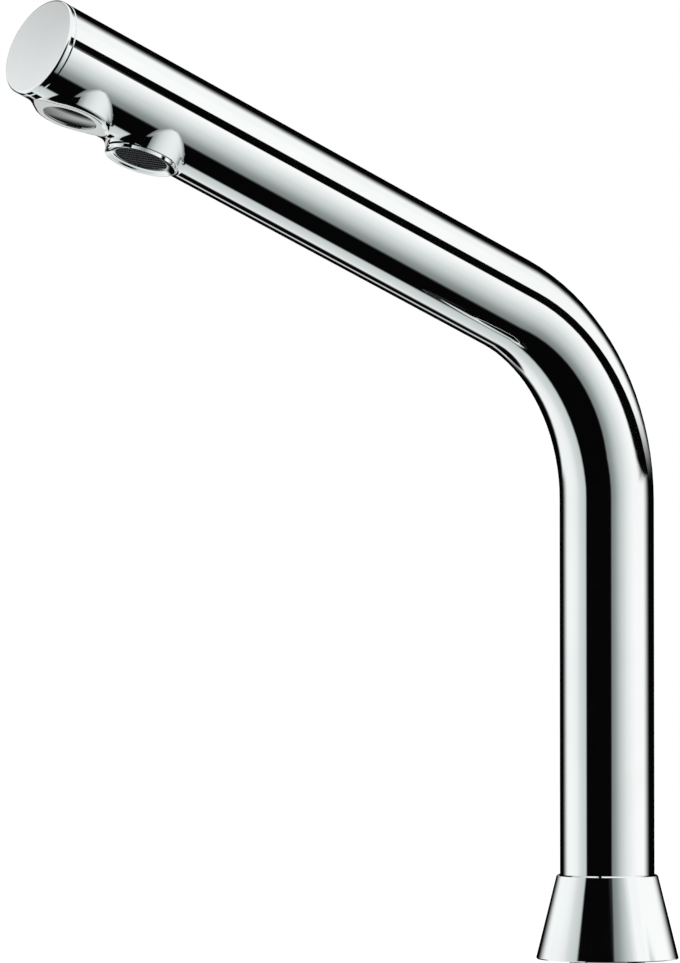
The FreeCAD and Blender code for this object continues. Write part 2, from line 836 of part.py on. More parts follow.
def valve_cover():
    """The cover over the piston, which carries the core tube."""
    front = -coil_offset
    cover = cyl(block_r, valve_top, cover_top)
    behind = Part.makeBox(2 * block_r, block_r, cover_height, Vector(-block_r, cover_back, valve_top))
    cover = cover.cut(behind)
    cover = cover.cut(cyl(piston_r + loose_gap, valve_top, cover_ceiling, y=front))
    cover = cover.cut(cyl(plunger_r + slide_gap, valve_top, cover_top, y=front))
    cover = cover.cut(cyl(core_tube_r + slide_gap, core_tube_foot, cover_top, y=front))
    for side in (-1, 1):
        x = side * cover_screw_x
        cover = cover.cut(cyl(screw_r + slide_gap, valve_top, cover_top, x, -cover_screw_y))
    for notch in lead_notches(valve_top, cover_top):
        cover = cover.cut(notch)
    return cover


def cover_screws():
    """Two cap screws that hold the cover."""
    screws = []
    for side in (-1, 1):
        x, y = side * cover_screw_x, -cover_screw_y
        top = cover_top + screw_head_height
        shank = cyl(screw_r, valve_top - screw_grip + seat_gap, cover_top, x, y)
        head = cyl(screw_head_r, cover_top, top, x, y)
        socket = hexagon(screw_socket_across, top - screw_socket_depth, top, x, y)
        screws.append(shank.fuse(head).cut(socket))
    return Part.makeCompound(screws)


def core_tube():
    """The thin tube that guides the plunger."""
    return ring(core_tube_r, plunger_r + slide_gap, core_tube_foot, core_tube_top, y=-coil_offset)


def fixed_core():
    """The iron stop in the top of the core tube."""
    return cyl(plunger_r + slide_gap / 2, fixed_core_foot, core_tube_top, y=-coil_offset)


def plunger():
    """The iron plunger that opens the pilot hole."""
    front = -coil_offset
    body = cyl(plunger_r, plunger_foot + plunger_nose_height, plunger_top, y=front)
    tip = Vector(0, front, plunger_foot)
    nose = Part.makeCone(plunger_nose_r, plunger_r, plunger_nose_height, tip)
    bore = cyl(plunger_bore_r, plunger_top - plunger_bore_depth, plunger_top, y=front)
    return body.fuse(nose).cut(bore)


def plunger_spring():
    """The spring between the plunger and the fixed core."""
    mean_r = plunger_bore_r - plunger_wire_r - seat_gap
    low = plunger_top - plunger_bore_depth
    coil = spring(mean_r, plunger_wire_r, low, fixed_core_foot, plunger_spring_turns)
    coil.translate(Vector(0, -coil_offset, 0))
    return coil


def coil_bobbin():
    """The plastic spool on the core tube."""
    front = -coil_offset
    top = core_tube_top - can_top
    inner = core_tube_r + slide_gap
    flange_r = coil_r - can_wall - slide_gap
    spool = ring(flange_r, inner, coil_foot, top, y=front)
    low, high = coil_foot + bobbin_wall, top - bobbin_wall
    return spool.cut(ring(flange_r + over, inner + bobbin_wall, low, high, y=front))


def coil_winding():
    """The copper winding as one closed ring."""
    front = -coil_offset
    inner = core_tube_r + slide_gap + bobbin_wall + slide_gap
    outer = coil_r - can_wall - loose_gap
    top = core_tube_top - can_top
    gap = bobbin_wall + slide_gap
    return ring(outer, inner, coil_foot + gap, top - gap, y=front)


def coil_can():
    """The steel can round the coil, with its roof over the core."""
    front = -coil_offset
    can = ring(coil_r, coil_r - can_wall, coil_foot, coil_top, y=front)
    roof_foot = core_tube_top - can_top + seat_gap
    roof = ring(coil_r - can_wall, core_tube_r + slide_gap, roof_foot, core_tube_top, y=front)
    return can.fuse(roof)


def latch_magnet():
    """The disc magnet that holds the plunger up without current."""
    return cyl(magnet_r, magnet_foot, magnet_foot + magnet_height, y=-coil_offset)


def coil_cap():
    """The moulded cap over the magnet, where the coil's lead comes out."""
    front = -coil_offset
    cap = cyl(coil_r, coil_top, coil_cap_top, y=front)
    cap = cap.makeChamfer(coil_cap_edge, end_circles(cap, coil_cap_top))
    return cap.cut(cyl(coil_lead_r + slide_gap, coil_cap_top - coil_lead_socket, coil_cap_top, y=front))


def coil_lead():
    """The coil's lead, over the top of the coil and down the right side of the column."""
    start = Vector(0, -coil_offset, coil_cap_top - coil_lead_socket + seat_gap)
    out = Vector(lead_exit_x, 0, 0) - Vector(0, -coil_offset, 0)
    crown = start + Vector(0, 0, coil_lead_rise)
    top = crown + out / 2 + Vector(0, 0, out.Length / 2)
    arch = Part.Arc(crown, top, crown + out).toShape()
    foot = Vector(lead_exit_x, 0, base_hollow + grommet_flange + seat_gap)
    return swept([line(start, crown), arch, line(crown + out, foot)], coil_lead_r)


# ---------------------------------------------------------------- hose and sensor lead
def water_hose():
    """The hose from the valve to the outlet elbow, through the column, bend and arm."""
    arm_end = ARM.multVec(Vector(0, station(outlet_from_end + elbow_r + seat_gap), hose_offset))
    bend = bend_arc(hose_offset)
    foot = Vector(0, hose_offset, valve_top + seat_gap)
    top = Vector(0, hose_offset, column_height)
    tip = bend.valueAt(bend.LastParameter)
    path = [line(foot, top), bend, line(tip, arm_end)]
    return swept(path, hose_r).cut(swept(path, hose_bore_r))


def hose_ferrules():
    """A crimped sleeve over each end of the hose."""
    inner = hose_r + slide_gap / 2
    outer = inner + ferrule_wall
    foot = valve_top + ferrule_from_end
    low = ring(outer, inner, foot, foot + ferrule_length, y=hose_offset)
    near = station(outlet_from_end + elbow_r + ferrule_from_end)
    high = cyl_back(outer, near, near + ferrule_length, z=hose_offset)
    high = high.cut(cyl_back(inner, near, near + ferrule_length, z=hose_offset))
    return Part.makeCompound([low, on_arm(high)])


def lead_end_from_cap():
    """How far behind the cap's face the sensor lead stops, inside the sensor housing."""
    flank = math.sqrt(window_r**2 - lead_entry_x**2)
    return sensor_from_end + flank - lead_in_housing


def sensor_lead():
    """The sensor's lead, held along the arm, the bend and the left side of the column."""
    foot = Vector(-lead_exit_x, 0, base_hollow + grommet_flange + seat_gap)
    above_valve = Vector(-lead_exit_x, 0, cover_top + screw_head_height)
    up = Vector(0, 0, 1)
    inward = Vector(lead_exit_x - lead_run_x, 0, 0)
    shift, shifted = side_shift(above_valve, up, inward, lead_shift_length)
    bend = bend_arc(0.0, x=-lead_run_x)
    top = Vector(-lead_run_x, 0, column_height)
    tip = bend.valueAt(bend.LastParameter)
    past_elbow = outlet_from_end - elbow_r
    turn_in = ARM.multVec(Vector(-lead_run_x, station(past_elbow), 0))
    outward = ARM.Rotation.multVec(Vector(0, -1, 0))
    across = Vector(lead_run_x - lead_entry_x, 0, 0)
    enter, entered = side_shift(turn_in, outward, across, lead_turn_in_length)
    end = ARM.multVec(Vector(-lead_entry_x, station(lead_end_from_cap()), 0))
    path = [line(foot, above_valve), *shift, line(shifted, top), bend, line(tip, turn_in), *enter]
    path.append(line(entered, end))
    return swept(path, sensor_lead_r)


# ---------------------------------------------------------------- sensor
def on_sensor(shape):
    """Places a piece drawn about the sensor's axis."""
    return on_arm(at_station(shape, sensor_from_end))


def sensor_window():
    """The dark infrared window, with the step its ring sits on."""
    front = cyl(window_view_r - slide_gap, -window_front, -window_back)
    front = front.makeChamfer(window_edge, end_circles(front, -window_front))
    return on_sensor(front.fuse(cyl(window_r, -window_step, -window_back)))


def window_seal():
    """The ring between the window's step and the boss's lip."""
    low, high = sensor_lip - sensor_face + slide_gap, -window_step - slide_gap
    return on_sensor(ring(window_r, window_view_r, low, high))


def sensor_housing():
    """The black cup behind the window, closed at the back where the lead enters."""
    cup = cyl(window_r, -window_back, -housing_top)
    cavity = cyl(window_r - housing_wall, -window_back, -(housing_top + housing_back))
    entry = cyl_back(sensor_lead_r + slide_gap, 0, window_r + over, x=-lead_entry_x)
    stop = lead_end_from_cap() - sensor_from_end - seat_gap
    blind = Part.makeBox(2 * window_r, stop, 2 * window_r, Vector(-window_r, 0, -window_r))
    return on_sensor(cup.cut(cavity).cut(entry.cut(blind)))


def sensor_board():
    """The round circuit board."""
    radius = window_r - housing_wall - loose_gap
    return on_sensor(cyl(radius, -board_face, -(board_face - board_thickness)))


def diode(radius, x):
    """A domed diode that looks out of the window."""
    tip = board_face + diode_height
    collar = cyl(radius + diode_collar, -(board_face + diode_collar_height), -board_face, x=x)
    body = cyl(radius, -(tip - radius), -board_face, x=x)
    dome = Part.makeSphere(radius, Vector(x, 0, -(tip - radius)))
    return body.fuse([dome, collar]).removeSplitter()


def ir_emitter():
    """The diode that lights the hands."""
    return on_sensor(diode(emitter_r, diode_offset))


def ir_receiver():
    """The diode that sees the light come back."""
    return on_sensor(diode(receiver_r, -diode_offset))


def light_baffle():
    """The wall that keeps the emitter's light off the receiver."""
    width = 2 * (window_r - housing_wall - baffle_end_gap)
    height = window_back - board_face - 2 * seat_gap
    corner = Vector(-baffle_thickness / 2, -width / 2, -window_back + seat_gap)
    return on_sensor(Part.makeBox(baffle_thickness, width, height, corner))


def sensor_cradle():
    """The moulded saddle between cap and elbow that presses the sensor into its boss."""
    near = cap_thickness + cap_plug_length + cradle_from_cap
    foot = -housing_top + seat_gap
    saddle = cyl_back(block_r, station(near), station(near + cradle_length))
    corner = Vector(-block_r, station(near), foot - 2 * block_r)
    saddle = saddle.cut(Part.makeBox(2 * block_r, cradle_length, 2 * block_r, corner))
    pocket_length = (cradle_length - 3 * cradle_rib) / 2
    for start in (cradle_rib, 2 * cradle_rib + pocket_length):
        for left in (-cradle_rib / 2 - cradle_pocket, cradle_rib / 2):
            corner = Vector(left, station(near + start), foot + cradle_rib)
            saddle = saddle.cut(Part.makeBox(cradle_pocket, pocket_length, block_r, corner))
    return on_arm(saddle)


# ---------------------------------------------------------------- outlet
def on_outlet(shape):
    """Places a piece drawn about the outlet's axis."""
    return on_arm(at_station(shape, outlet_from_end))


def outlet_elbow():
    """The block that turns the water from the hose down into the aerator."""
    block = cyl(elbow_r, -elbow_foot, bore_r).common(cyl_back(block_r, -elbow_r, elbow_r))
    barb = cyl_back(barb_r, 0, elbow_r + barb_length, z=hose_offset)
    block = block.fuse(barb)
    cuts = [
        cyl(aerator_thread_r + slide_gap, -elbow_foot, -socket_floor),
        cyl(waterway_r, -socket_floor, waterway_top),
        cyl_back(barb_bore_r, 0, elbow_r + barb_length, z=hose_offset),
        cyl_back(sensor_lead_r + loose_gap, -elbow_r, elbow_r, x=-lead_run_x),
    ]
    for cut in cuts:
        block = block.cut(cut)
    return on_outlet(block)


def aerator_housing():
    """The chrome collar that screws up through the boss into the elbow."""
    top = socket_floor + aerator_seal_thickness + seat_gap
    body = turned([
        (aerator_mouth_r, -aerator_foot + aerator_sink_depth),
        (aerator_sink_r, -aerator_foot + aerator_sink_depth),
        (aerator_r - aerator_rim, -aerator_foot),
        (aerator_r - aerator_edge, -aerator_foot),
        (aerator_r, -aerator_foot + aerator_edge),
        (aerator_r, -aerator_top - aerator_groove),
        (aerator_r - aerator_groove, -aerator_top),
        (aerator_thread_r, -aerator_top),
        (aerator_thread_r, -top),
        (aerator_bore_r, -top),
        (aerator_bore_r, -straightener_foot),
        (aerator_mouth_r, -straightener_foot),
    ])
    return on_outlet(body)


def aerator_seal():
    """The flat washer between the collar and the elbow."""
    top = socket_floor + seat_gap / 2
    inner = aerator_thread_r - aerator_seal_width
    return on_outlet(ring(aerator_thread_r, inner, -(top + aerator_seal_thickness), -top))


def insert_layer(foot, top, rim, pitch, web):
    """A gridded layer of the aerator's insert, between two depths under the arm's axis."""
    return on_outlet(grid_disc(aerator_bore_r - slide_gap, rim, pitch, web, -foot, -top))


def flow_straightener():
    """The dark insert with square channels that makes a clear stream."""
    pitch, web = straightener_pitch, straightener_web
    return insert_layer(straightener_foot, straightener_top, straightener_rim, pitch, web)


def jet_plate():
    """The disc with small jets above the straightener."""
    radius = aerator_bore_r - slide_gap
    disc = cyl(radius, -straightener_top, -jet_plate_top)
    holes = []
    for share, count in ((1.0, jet_count), (0.5, jet_count // 2)):
        for i in range(count):
            a = 2 * math.pi * i / count
            x, y = jet_circle_r * share * math.cos(a), jet_circle_r * share * math.sin(a)
            holes.append(cyl(jet_hole_r, -straightener_top, -jet_plate_top, x, y))
    return on_outlet(disc.cut(holes))


def aerator_screen():
    """The screen on top of the insert, which catches scale."""
    return insert_layer(jet_plate_top, screen_top, screen_rim, screen_pitch, screen_web)


PARTS = [
    spout_tube, end_cap, cap_seal,
    base_body, base_gasket, grub_screw, fixing_studs,
    clamp_pad, clamp_plate, clamp_washers, clamp_nuts, lead_grommets,
    inlet_filter, check_cartridge, cartridge_seals, check_poppet, check_spring,
    valve_body, valve_piston, piston_seal, valve_cover, cover_screws,
    core_tube, fixed_core, plunger, plunger_spring,
    coil_bobbin, coil_winding, coil_can, latch_magnet, coil_cap, coil_lead,
    water_hose, hose_ferrules, sensor_lead,
    sensor_window, window_seal, sensor_housing, sensor_board, ir_emitter, ir_receiver,
    light_baffle, sensor_cradle,
    outlet_elbow, aerator_housing, aerator_seal, flow_straightener, jet_plate, aerator_screen,
]


def main():
    """Writes one STEP file for each piece."""
    os.makedirs("parts", exist_ok=True)
    for make in PARTS:
        shape = make()
        if not shape.isValid():
            print(f"{make.__name__} is not valid")
        shape.exportStep(f"parts/{make.__name__}.step")


main()
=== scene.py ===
"""Sensor tap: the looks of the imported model.

The CAD nodes stay where they are. What shows gets its finish here, and a few pieces are made again with
more detail: the chrome skins with their true surface normals, the sensor's window pane, the fine grid of
the outlet, and the threaded studs with their washers and nuts. Lengths are in metres and the frame is the
CAD one: +Z is up, the deck is z = 0 and the arm points along -Y.
"""

import logging
import math
from collections.abc import Callable
from dataclasses import dataclass
from enum import Enum
from functools import cache
from typing import ClassVar

import bmesh
import bpy
from mathutils import Matrix, Vector


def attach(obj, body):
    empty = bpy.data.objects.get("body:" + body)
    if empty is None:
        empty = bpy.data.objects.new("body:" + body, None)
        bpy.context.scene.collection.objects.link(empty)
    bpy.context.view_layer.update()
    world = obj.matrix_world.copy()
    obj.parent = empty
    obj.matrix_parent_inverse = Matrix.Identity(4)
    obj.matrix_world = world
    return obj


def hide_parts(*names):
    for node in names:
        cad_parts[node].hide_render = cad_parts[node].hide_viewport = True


LOG = logging.getLogger("sensor_tap")
PICTURE_HEIGHT = 963  # pixels of the photograph's long side
MM = 0.001
MERGE_NEW = 0.0005 * MM  # corners of a new shape that are this near are one
MERGE_CAD = 0.001 * MM  # and those of a CAD mesh

Colour = tuple[float, float, float, float]


# ---------------------------------------------------------------- colours and small helpers


def linear(red: float, green: float, blue: float) -> Colour:
    """Turns a colour as seen on a screen into the linear one that shaders take.

    Args:
        red: 0 to 255.
        green: 0 to 255.
        blue: 0 to 255.

    Returns:
        The linear colour with an alpha of 1.
    """
    shares = [v / 255 for v in (red, green, blue)]
    values = [s / 12.92 if s <= 0.04045 else ((s + 0.055) / 1.055) ** 2.4 for s in shares]
    return (values[0], values[1], values[2], 1.0)


def heading(turn: float, rise: float) -> Vector:
    """The direction that is turned from the camera's side and raised above level.

    Args:
        turn: degrees from the direction of the camera, positive to the right of the picture.
        rise: degrees above level.

    Returns:
        A unit vector in the model's frame.
    """
    bearing = math.radians(Camera.bearing + turn)
    up = math.radians(rise)
    return Vector((math.sin(bearing) * math.cos(up), -math.cos(bearing) * math.cos(up), math.sin(up)))


def plane(first: Vector, second: Vector, up: bool = False) -> Vector:
    """The side of the plane through two directions.

    Args:
        first: a direction on the plane.
        second: another one.
        up: True for the side that has the zenith.

    Returns:
        The plane's unit normal.
    """
    normal = first.cross(second).normalized()
    return -normal if up and normal.z < 0 else normal


class Tree:
    """A short way to add nodes to one node tree."""

    def __init__(self, tree: bpy.types.NodeTree) -> None:
        """Takes the tree and empties it."""
        self.tree = tree
        tree.nodes.clear()

    def put(self, value: object, target: bpy.types.NodeSocket) -> None:
        """Links a socket, or sets a number or colour, on an input.

        Args:
            value: an output socket, a number or a colour.
            target: the input.
        """
        if isinstance(value, bpy.types.NodeSocket):
            self.tree.links.new(value, target)
        else:
            target.default_value = value

    def add(self, kind: str, given: dict | None = None, **settings: object) -> bpy.types.Node:
        """Adds a node.

        Args:
            kind: Blender's name of it.
            given: for each of its inputs a socket, number or colour.
            settings: its other settings.

        Returns:
            The node.
        """
        node = self.tree.nodes.new(kind)
        for name, value in settings.items():
            setattr(node, name, value)
        for label, value in (given or {}).items():
            self.put(value, node.inputs[label])
        return node

    def math(self, operation: str, *values: object) -> bpy.types.NodeSocket:
        """Adds a Math node with a number or socket for each input. Returns its output."""
        return self.add("ShaderNodeMath", dict(enumerate(values)), operation=operation).outputs[0]

    def dot(self, direction: bpy.types.NodeSocket, towards: Vector) -> bpy.types.NodeSocket:
        """The cosine between a direction and a fixed one."""
        node = self.add("ShaderNodeVectorMath", {0: direction, 1: towards}, operation="DOT_PRODUCT")
        return node.outputs["Value"]

    def rise(self, value: bpy.types.NodeSocket, low: float, high: float) -> bpy.types.NodeSocket:
        """A smooth step from 0 at low to 1 at high, or down where low is the larger."""
        given = {"Value": value, "From Min": low, "From Max": high}
        return self.add("ShaderNodeMapRange", given, interpolation_type="SMOOTHSTEP").outputs["Result"]

    def spread(
        self, share: bpy.types.NodeSocket, low: object, high: object, span: tuple[float, float] = (0.0, 1.0)
    ) -> bpy.types.NodeSocket:
        """The value that goes from low to high as share goes from one end of span to the other."""
        given = {"Value": share, "From Min": span[0], "From Max": span[1], "To Min": low, "To Max": high}
        return self.add("ShaderNodeMapRange", given).outputs["Result"]

    def mix(self, share: object, first: object, second: object, blend: str = "MIX") -> bpy.types.NodeSocket:
        """Mixes two colours.

        Args:
            share: how much of the second, a number or socket.
            first: a colour or socket.
            second: a colour or socket.
            blend: Blender's name of the way they mix.

        Returns:
            The mixed colour.
        """
        given = {"Factor": share, "A": first, "B": second}
        return self.add("ShaderNodeMix", given, data_type="RGBA", blend_type=blend).outputs["Result"]

    def bump(self, height: bpy.types.NodeSocket, depth: float, strength: float) -> bpy.types.NodeSocket:
        """Turns a height into a normal.

        Args:
            height: the output that holds the height.
            depth: the height in metres.
            strength: 0 to 1.

        Returns:
            The normal.
        """
        given = {"Height": height, "Distance": depth, "Strength": strength}
        return self.add("ShaderNodeBump", given).outputs["Normal"]

    def effect(self, group: bpy.types.ShaderNodeTree, **given: float) -> bpy.types.NodeOutputs:
        """Places a shared effect in the tree with its own values. Returns its outputs."""
        return self.add("ShaderNodeGroup", given, node_tree=group).outputs

    def place(self) -> bpy.types.NodeSocket:
        """The place on the piece."""
        return self.add("ShaderNodeTexCoord").outputs["Object"]


# ---------------------------------------------------------------- effects that finishes share


# A noise's values between which an effect goes from nothing to full.
SMUDGE_SPAN = (0.35, 0.7)
PATCH_SPAN = (0.35, 0.65)
LINE_SPAN = (0.4, 0.6)
ROUND_TO_UP = (0.03, 0.03, 1.0)  # a noise stretched sideways, so that it runs round the piece


class Effect(Tree):
    """A shader node group with numbers for inputs and outputs."""

    def __init__(self, name: str, **inputs: float) -> None:
        """Starts a group whose inputs have these names and usual values.

        Args:
            name: the group's name.
            inputs: each input's usual value.
        """
        super().__init__(bpy.data.node_groups.new(name, "ShaderNodeTree"))
        for label, value in inputs.items():
            self.socket(label, "INPUT").default_value = value
        self.given = self.add("NodeGroupInput").outputs

    def socket(self, label: str, side: str) -> bpy.types.NodeTreeInterfaceSocket:
        """Adds a number to the group's INPUT or OUTPUT side. Returns it."""
        return self.tree.interface.new_socket(label, in_out=side, socket_type="NodeSocketFloat")

    def noise(self, scale: str, place: bpy.types.NodeSocket, **given: object) -> bpy.types.NodeSocket:
        """Adds a noise.

        Args:
            scale: the group's input that holds its scale.
            place: where it is read.
            given: its other inputs.

        Returns:
            The noise's value.
        """
        given |= {"Vector": place, "Scale": self.given[scale]}
        return self.add("ShaderNodeTexNoise", given).outputs["Fac"]

    def finished(self, **outputs: bpy.types.NodeSocket) -> bpy.types.ShaderNodeTree:
        """Leads these outputs out of the group.

        Args:
            outputs: the socket that leads to each output.

        Returns:
            The group.
        """
        for label in outputs:
            self.socket(label, "OUTPUT")
        self.add("NodeGroupOutput", outputs)
        return self.tree


@cache
def smudges() -> bpy.types.ShaderNodeTree:
    """Soft cloudy marks of wiping: a value between Low and High.

    Returns:
        The group.
    """
    group = Effect("Smudges", Scale=60.0, Low=0.03, High=0.06)
    cloud = group.noise("Scale", group.place(), Detail=4.0, Distortion=0.6)
    return group.finished(Value=group.spread(cloud, group.given["Low"], group.given["High"], SMUDGE_SPAN))


@cache
def grain() -> bpy.types.ShaderNodeTree:
    """The fine spark-eroded grain of a moulding: a height, and a mask of shallow spots.

    Returns:
        The group.
    """
    group = Effect("Grain", Scale=2500.0, Patch=90.0)
    fine = group.noise("Scale", group.place(), Detail=2.0)
    wide = group.noise("Patch", group.place(), Detail=3.0)
    return group.finished(Height=fine, Patches=group.rise(wide, *PATCH_SPAN))


@cache
def turning() -> bpy.types.ShaderNodeTree:
    """Fine lines left by a tool that ran round the vertical axis: a height and a mask.

    Returns:
        The group.
    """
    group = Effect("Turning", Scale=900.0, Waver=0.4)
    squeeze = group.add("ShaderNodeMapping", {"Vector": group.place(), "Scale": ROUND_TO_UP})
    streak = group.noise("Scale", squeeze.outputs["Vector"], Detail=3.0, Distortion=group.given["Waver"])
    return group.finished(Height=streak, Lines=group.rise(streak, *LINE_SPAN))


# ---------------------------------------------------------------- finishes


@dataclass(frozen=True)
class Finish:
    """What every finish has: a name, a colour as seen on a screen and a roughness."""

    name: str
    colour: tuple[float, float, float]
    roughness: float

    def material(self) -> bpy.types.Material:
        """Makes the material.

        Returns:
            The material.
        """
        made = bpy.data.materials.new(self.name)
        made.use_nodes = True
        tree = Tree(made.node_tree)
        plain = {"Base Color": self.tone(), "Roughness": self.roughness}
        surface = tree.add("ShaderNodeBsdfPrincipled", plain)
        for label, value in self.dress(tree).items():
            tree.put(value, surface.inputs[label])
        tree.add("ShaderNodeOutputMaterial", {"Surface": surface.outputs["BSDF"]})
        return made

    def dress(self, tree: Tree) -> dict[str, object]:
        """Adds what makes this finish.

        Args:
            tree: the material's tree.

        Returns:
            The socket or number for each input of the surface.
        """
        raise NotImplementedError

    def tone(self, gain: float = 1.0, lift: float = 0.0) -> Colour:
        """The finish's colour, with its 0 to 255 values multiplied and raised."""
        return linear(*[min(255.0, gain * v + lift) for v in self.colour])


@dataclass(frozen=True)
class Chrome(Finish):
    """Bright chrome plate: a mirror with the faintest marks of wiping."""

    smudge_scale: float = 45.0
    smudge_gain: float = 0.02
    smudge_tone: float = 0.975

    def dress(self, tree: Tree) -> dict[str, object]:
        """A mirror whose gloss and tone vary a little.

        Args:
            tree: the material's tree.

        Returns:
            The socket or number for each input of the surface.
        """
        dull = self.roughness + self.smudge_gain
        marks = tree.effect(smudges(), Scale=self.smudge_scale, Low=self.roughness, High=dull)
        shade = tree.effect(smudges(), Scale=self.smudge_scale / 2, Low=0.0, High=1.0)
        return {
            "Metallic": 1.0,
            "Roughness": marks["Value"],
            "Base Color": tree.mix(shade["Value"], self.tone(), self.tone(self.smudge_tone)),
        }


@dataclass(frozen=True)
class Acrylic(Finish):
    """Polished acrylic, dark or clear, with a hard glossy face."""

    index: float = 1.6
    coat_roughness: float = 0.02
    cloud_scale: float = 120.0
    cloud_tone: float = 0.55
    smudge_scale: float = 70.0
    smudge_gain: float = 0.03

    def dress(self, tree: Tree) -> dict[str, object]:
        """A coat, and a colour that is a little uneven in depth.

        Args:
            tree: the material's tree.

        Returns:
            The socket or number for each input of the surface.
        """
        dull = self.roughness + self.smudge_gain
        cloud = tree.effect(smudges(), Scale=self.cloud_scale, Low=0.0, High=1.0)
        marks = tree.effect(smudges(), Scale=self.smudge_scale, Low=self.roughness, High=dull)
        return {
            "IOR": self.index,
            "Specular IOR Level": 1.0,
            "Coat Weight": 1.0,
            "Coat Roughness": self.coat_roughness,
            "Coat IOR": self.index,
            "Base Color": tree.mix(cloud["Value"], self.tone(), self.tone(self.cloud_tone)),
            "Roughness": marks["Value"],
        }


@dataclass(frozen=True)
class Moulding(Finish):
    """A moulded plastic with its fine grain."""

    grain_scale: float = 2200.0
    grain_depth: float = 0.03 * MM
    grain_strength: float = 0.5
    patch_scale: float = 110.0
    patch_tone: tuple[float, float] = (1.08, 4.0)
    patch_gloss: tuple[float, float] = (-0.06, 0.08)
    specular: float = 0.5

    def dress(self, tree: Tree) -> dict[str, object]:
        """The grain, and patches where the plastic flowed differently.

        Args:
            tree: the material's tree.

        Returns:
            The socket or number for each input of the surface.
        """
        skin_marks = tree.effect(grain(), Scale=self.grain_scale, Patch=self.patch_scale)
        patches = skin_marks["Patches"]
        return {
            "Specular IOR Level": self.specular,
            "Base Color": tree.mix(patches, self.tone(), self.tone(*self.patch_tone)),
            "Roughness": tree.spread(patches, *[self.roughness + step for step in self.patch_gloss]),
            "Normal": tree.bump(skin_marks["Height"], self.grain_depth, self.grain_strength),
        }


@dataclass(frozen=True)
class Rubber(Moulding):
    """Black rubber: dull, with a dusty bloom in patches."""

    grain_scale: float = 1400.0
    grain_depth: float = 0.05 * MM
    specular: float = 0.3


@dataclass(frozen=True)
class TurnedMetal(Finish):
    """A metal piece with the fine lines of turning or drawing."""

    line_scale: float = 900.0
    line_depth: float = 0.01 * MM
    line_strength: float = 0.6
    line_tone: float = 0.86
    gloss_swing: float = 0.07
    waver: float = 0.4

    def dress(self, tree: Tree) -> dict[str, object]:
        """The lines in colour, gloss and normal.

        Args:
            tree: the material's tree.

        Returns:
            The socket or number for each input of the surface.
        """
        marks = tree.effect(turning(), Scale=self.line_scale, Waver=self.waver)
        lines, swing = marks["Lines"], self.gloss_swing
        return {
            "Metallic": 1.0,
            "Base Color": tree.mix(lines, self.tone(), self.tone(self.line_tone)),
            "Roughness": tree.spread(lines, self.roughness - swing, self.roughness + swing),
            "Normal": tree.bump(marks["Height"], self.line_depth, self.line_strength),
        }


@dataclass(frozen=True)
class WoundWire(Finish):
    """Enamelled wire wound in layers round the vertical axis."""

    wire: float = 0.22 * MM
    wave_length: float = 0.314  # of the Wave texture at a scale of 1
    wander: float = 0.6
    metallic: float = 0.7
    enamel: float = 0.6
    # painted shade: the share of the colour left in the valleys between the turns
    painted_valley_shade: float = 0.45
    rib_strength: float = 0.8

    def dress(self, tree: Tree) -> dict[str, object]:
        """The turns as fine ribs in the normal, with painted shade that darkens the colour in the valleys
        between them.

        Args:
            tree: the material's tree.

        Returns:
            The socket or number for each input of the surface.
        """
        ribs = tree.add(
            "ShaderNodeTexWave",
            {"Vector": tree.place(), "Scale": self.wave_length / self.wire, "Distortion": self.wander},
            wave_type="BANDS", bands_direction="Z", wave_profile="SIN",
        ).outputs["Fac"]
        return {
            "Metallic": self.metallic,
            "Coat Weight": self.enamel,
            # painted shade: the colour is darker in the ribs' valleys
            "Base Color": tree.mix(ribs, self.tone(self.painted_valley_shade), self.tone()),
            "Normal": tree.bump(ribs, self.wire / 2, self.rib_strength),
        }


@dataclass(frozen=True)
class CircuitBoard(Finish):
    """Green solder resist over copper tracks."""

    pitch: float = 1.2 * MM
    resist: float = 0.5
    track_tone: tuple[float, float] = (1.6, 12.0)
    track_depth: float = 0.03 * MM
    track_strength: float = 0.6

    def dress(self, tree: Tree) -> dict[str, object]:
        """The tracks as a lighter green.

        Args:
            tree: the material's tree.

        Returns:
            The socket or number for each input of the surface.
        """
        tracks = tree.add("ShaderNodeTexBrick", {
            "Vector": tree.place(),
            "Scale": 1.0,
            "Brick Width": 3 * self.pitch,
            "Row Height": self.pitch,
            "Mortar Size": self.pitch / 6,
        }).outputs["Fac"]
        return {
            "Coat Weight": self.resist,
            "Base Color": tree.mix(tracks, self.tone(), self.tone(*self.track_tone)),
            "Normal": tree.bump(tracks, self.track_depth, self.track_strength),
        }


CHROME = (250, 252, 252)


class Slot(Enum):
    """The record's material slots, each with its finish."""

    chrome_tube = Chrome("chrome_tube", CHROME, 0.02)
    chrome_cap = Chrome("chrome_cap", CHROME, 0.03, smudge_scale=70.0)
    chrome_base = Chrome("chrome_base", CHROME, 0.02)
    chrome_aerator = Chrome("chrome_aerator", CHROME, 0.03, smudge_scale=90.0)
    window = Acrylic("window", (34, 44, 42), 0.03, index=1.9)
    insert = Moulding("insert", (24, 25, 32), 0.3, grain_scale=3000.0, specular=0.7)
    black_plastic = Moulding("black_plastic", (38, 38, 40), 0.42)
    white_plastic = Moulding("white_plastic", (232, 231, 226), 0.38)
    grey_plastic = Moulding("grey_plastic", (120, 123, 126), 0.45)
    rubber = Rubber("rubber", (32, 32, 32), 0.7)
    brass = TurnedMetal("brass", (205, 176, 104), 0.28)
    steel = TurnedMetal("steel", (196, 198, 201), 0.3)
    zinc_steel = TurnedMetal("zinc_steel", (196, 200, 204), 0.34)
    copper = WoundWire("copper", (176, 88, 44), 0.3)
    board = CircuitBoard("board", (20, 78, 44), 0.35)
    clear = Acrylic("clear", (205, 208, 218), 0.1)
    dark_clear = Acrylic("dark_clear", (40, 34, 60), 0.08)
    lead = Rubber("lead", (36, 36, 37), 0.55, grain_scale=1800.0)


@cache
def material(slot: Slot) -> bpy.types.Material:
    """The material of a slot, made when it is first asked for."""
    return slot.value.material()


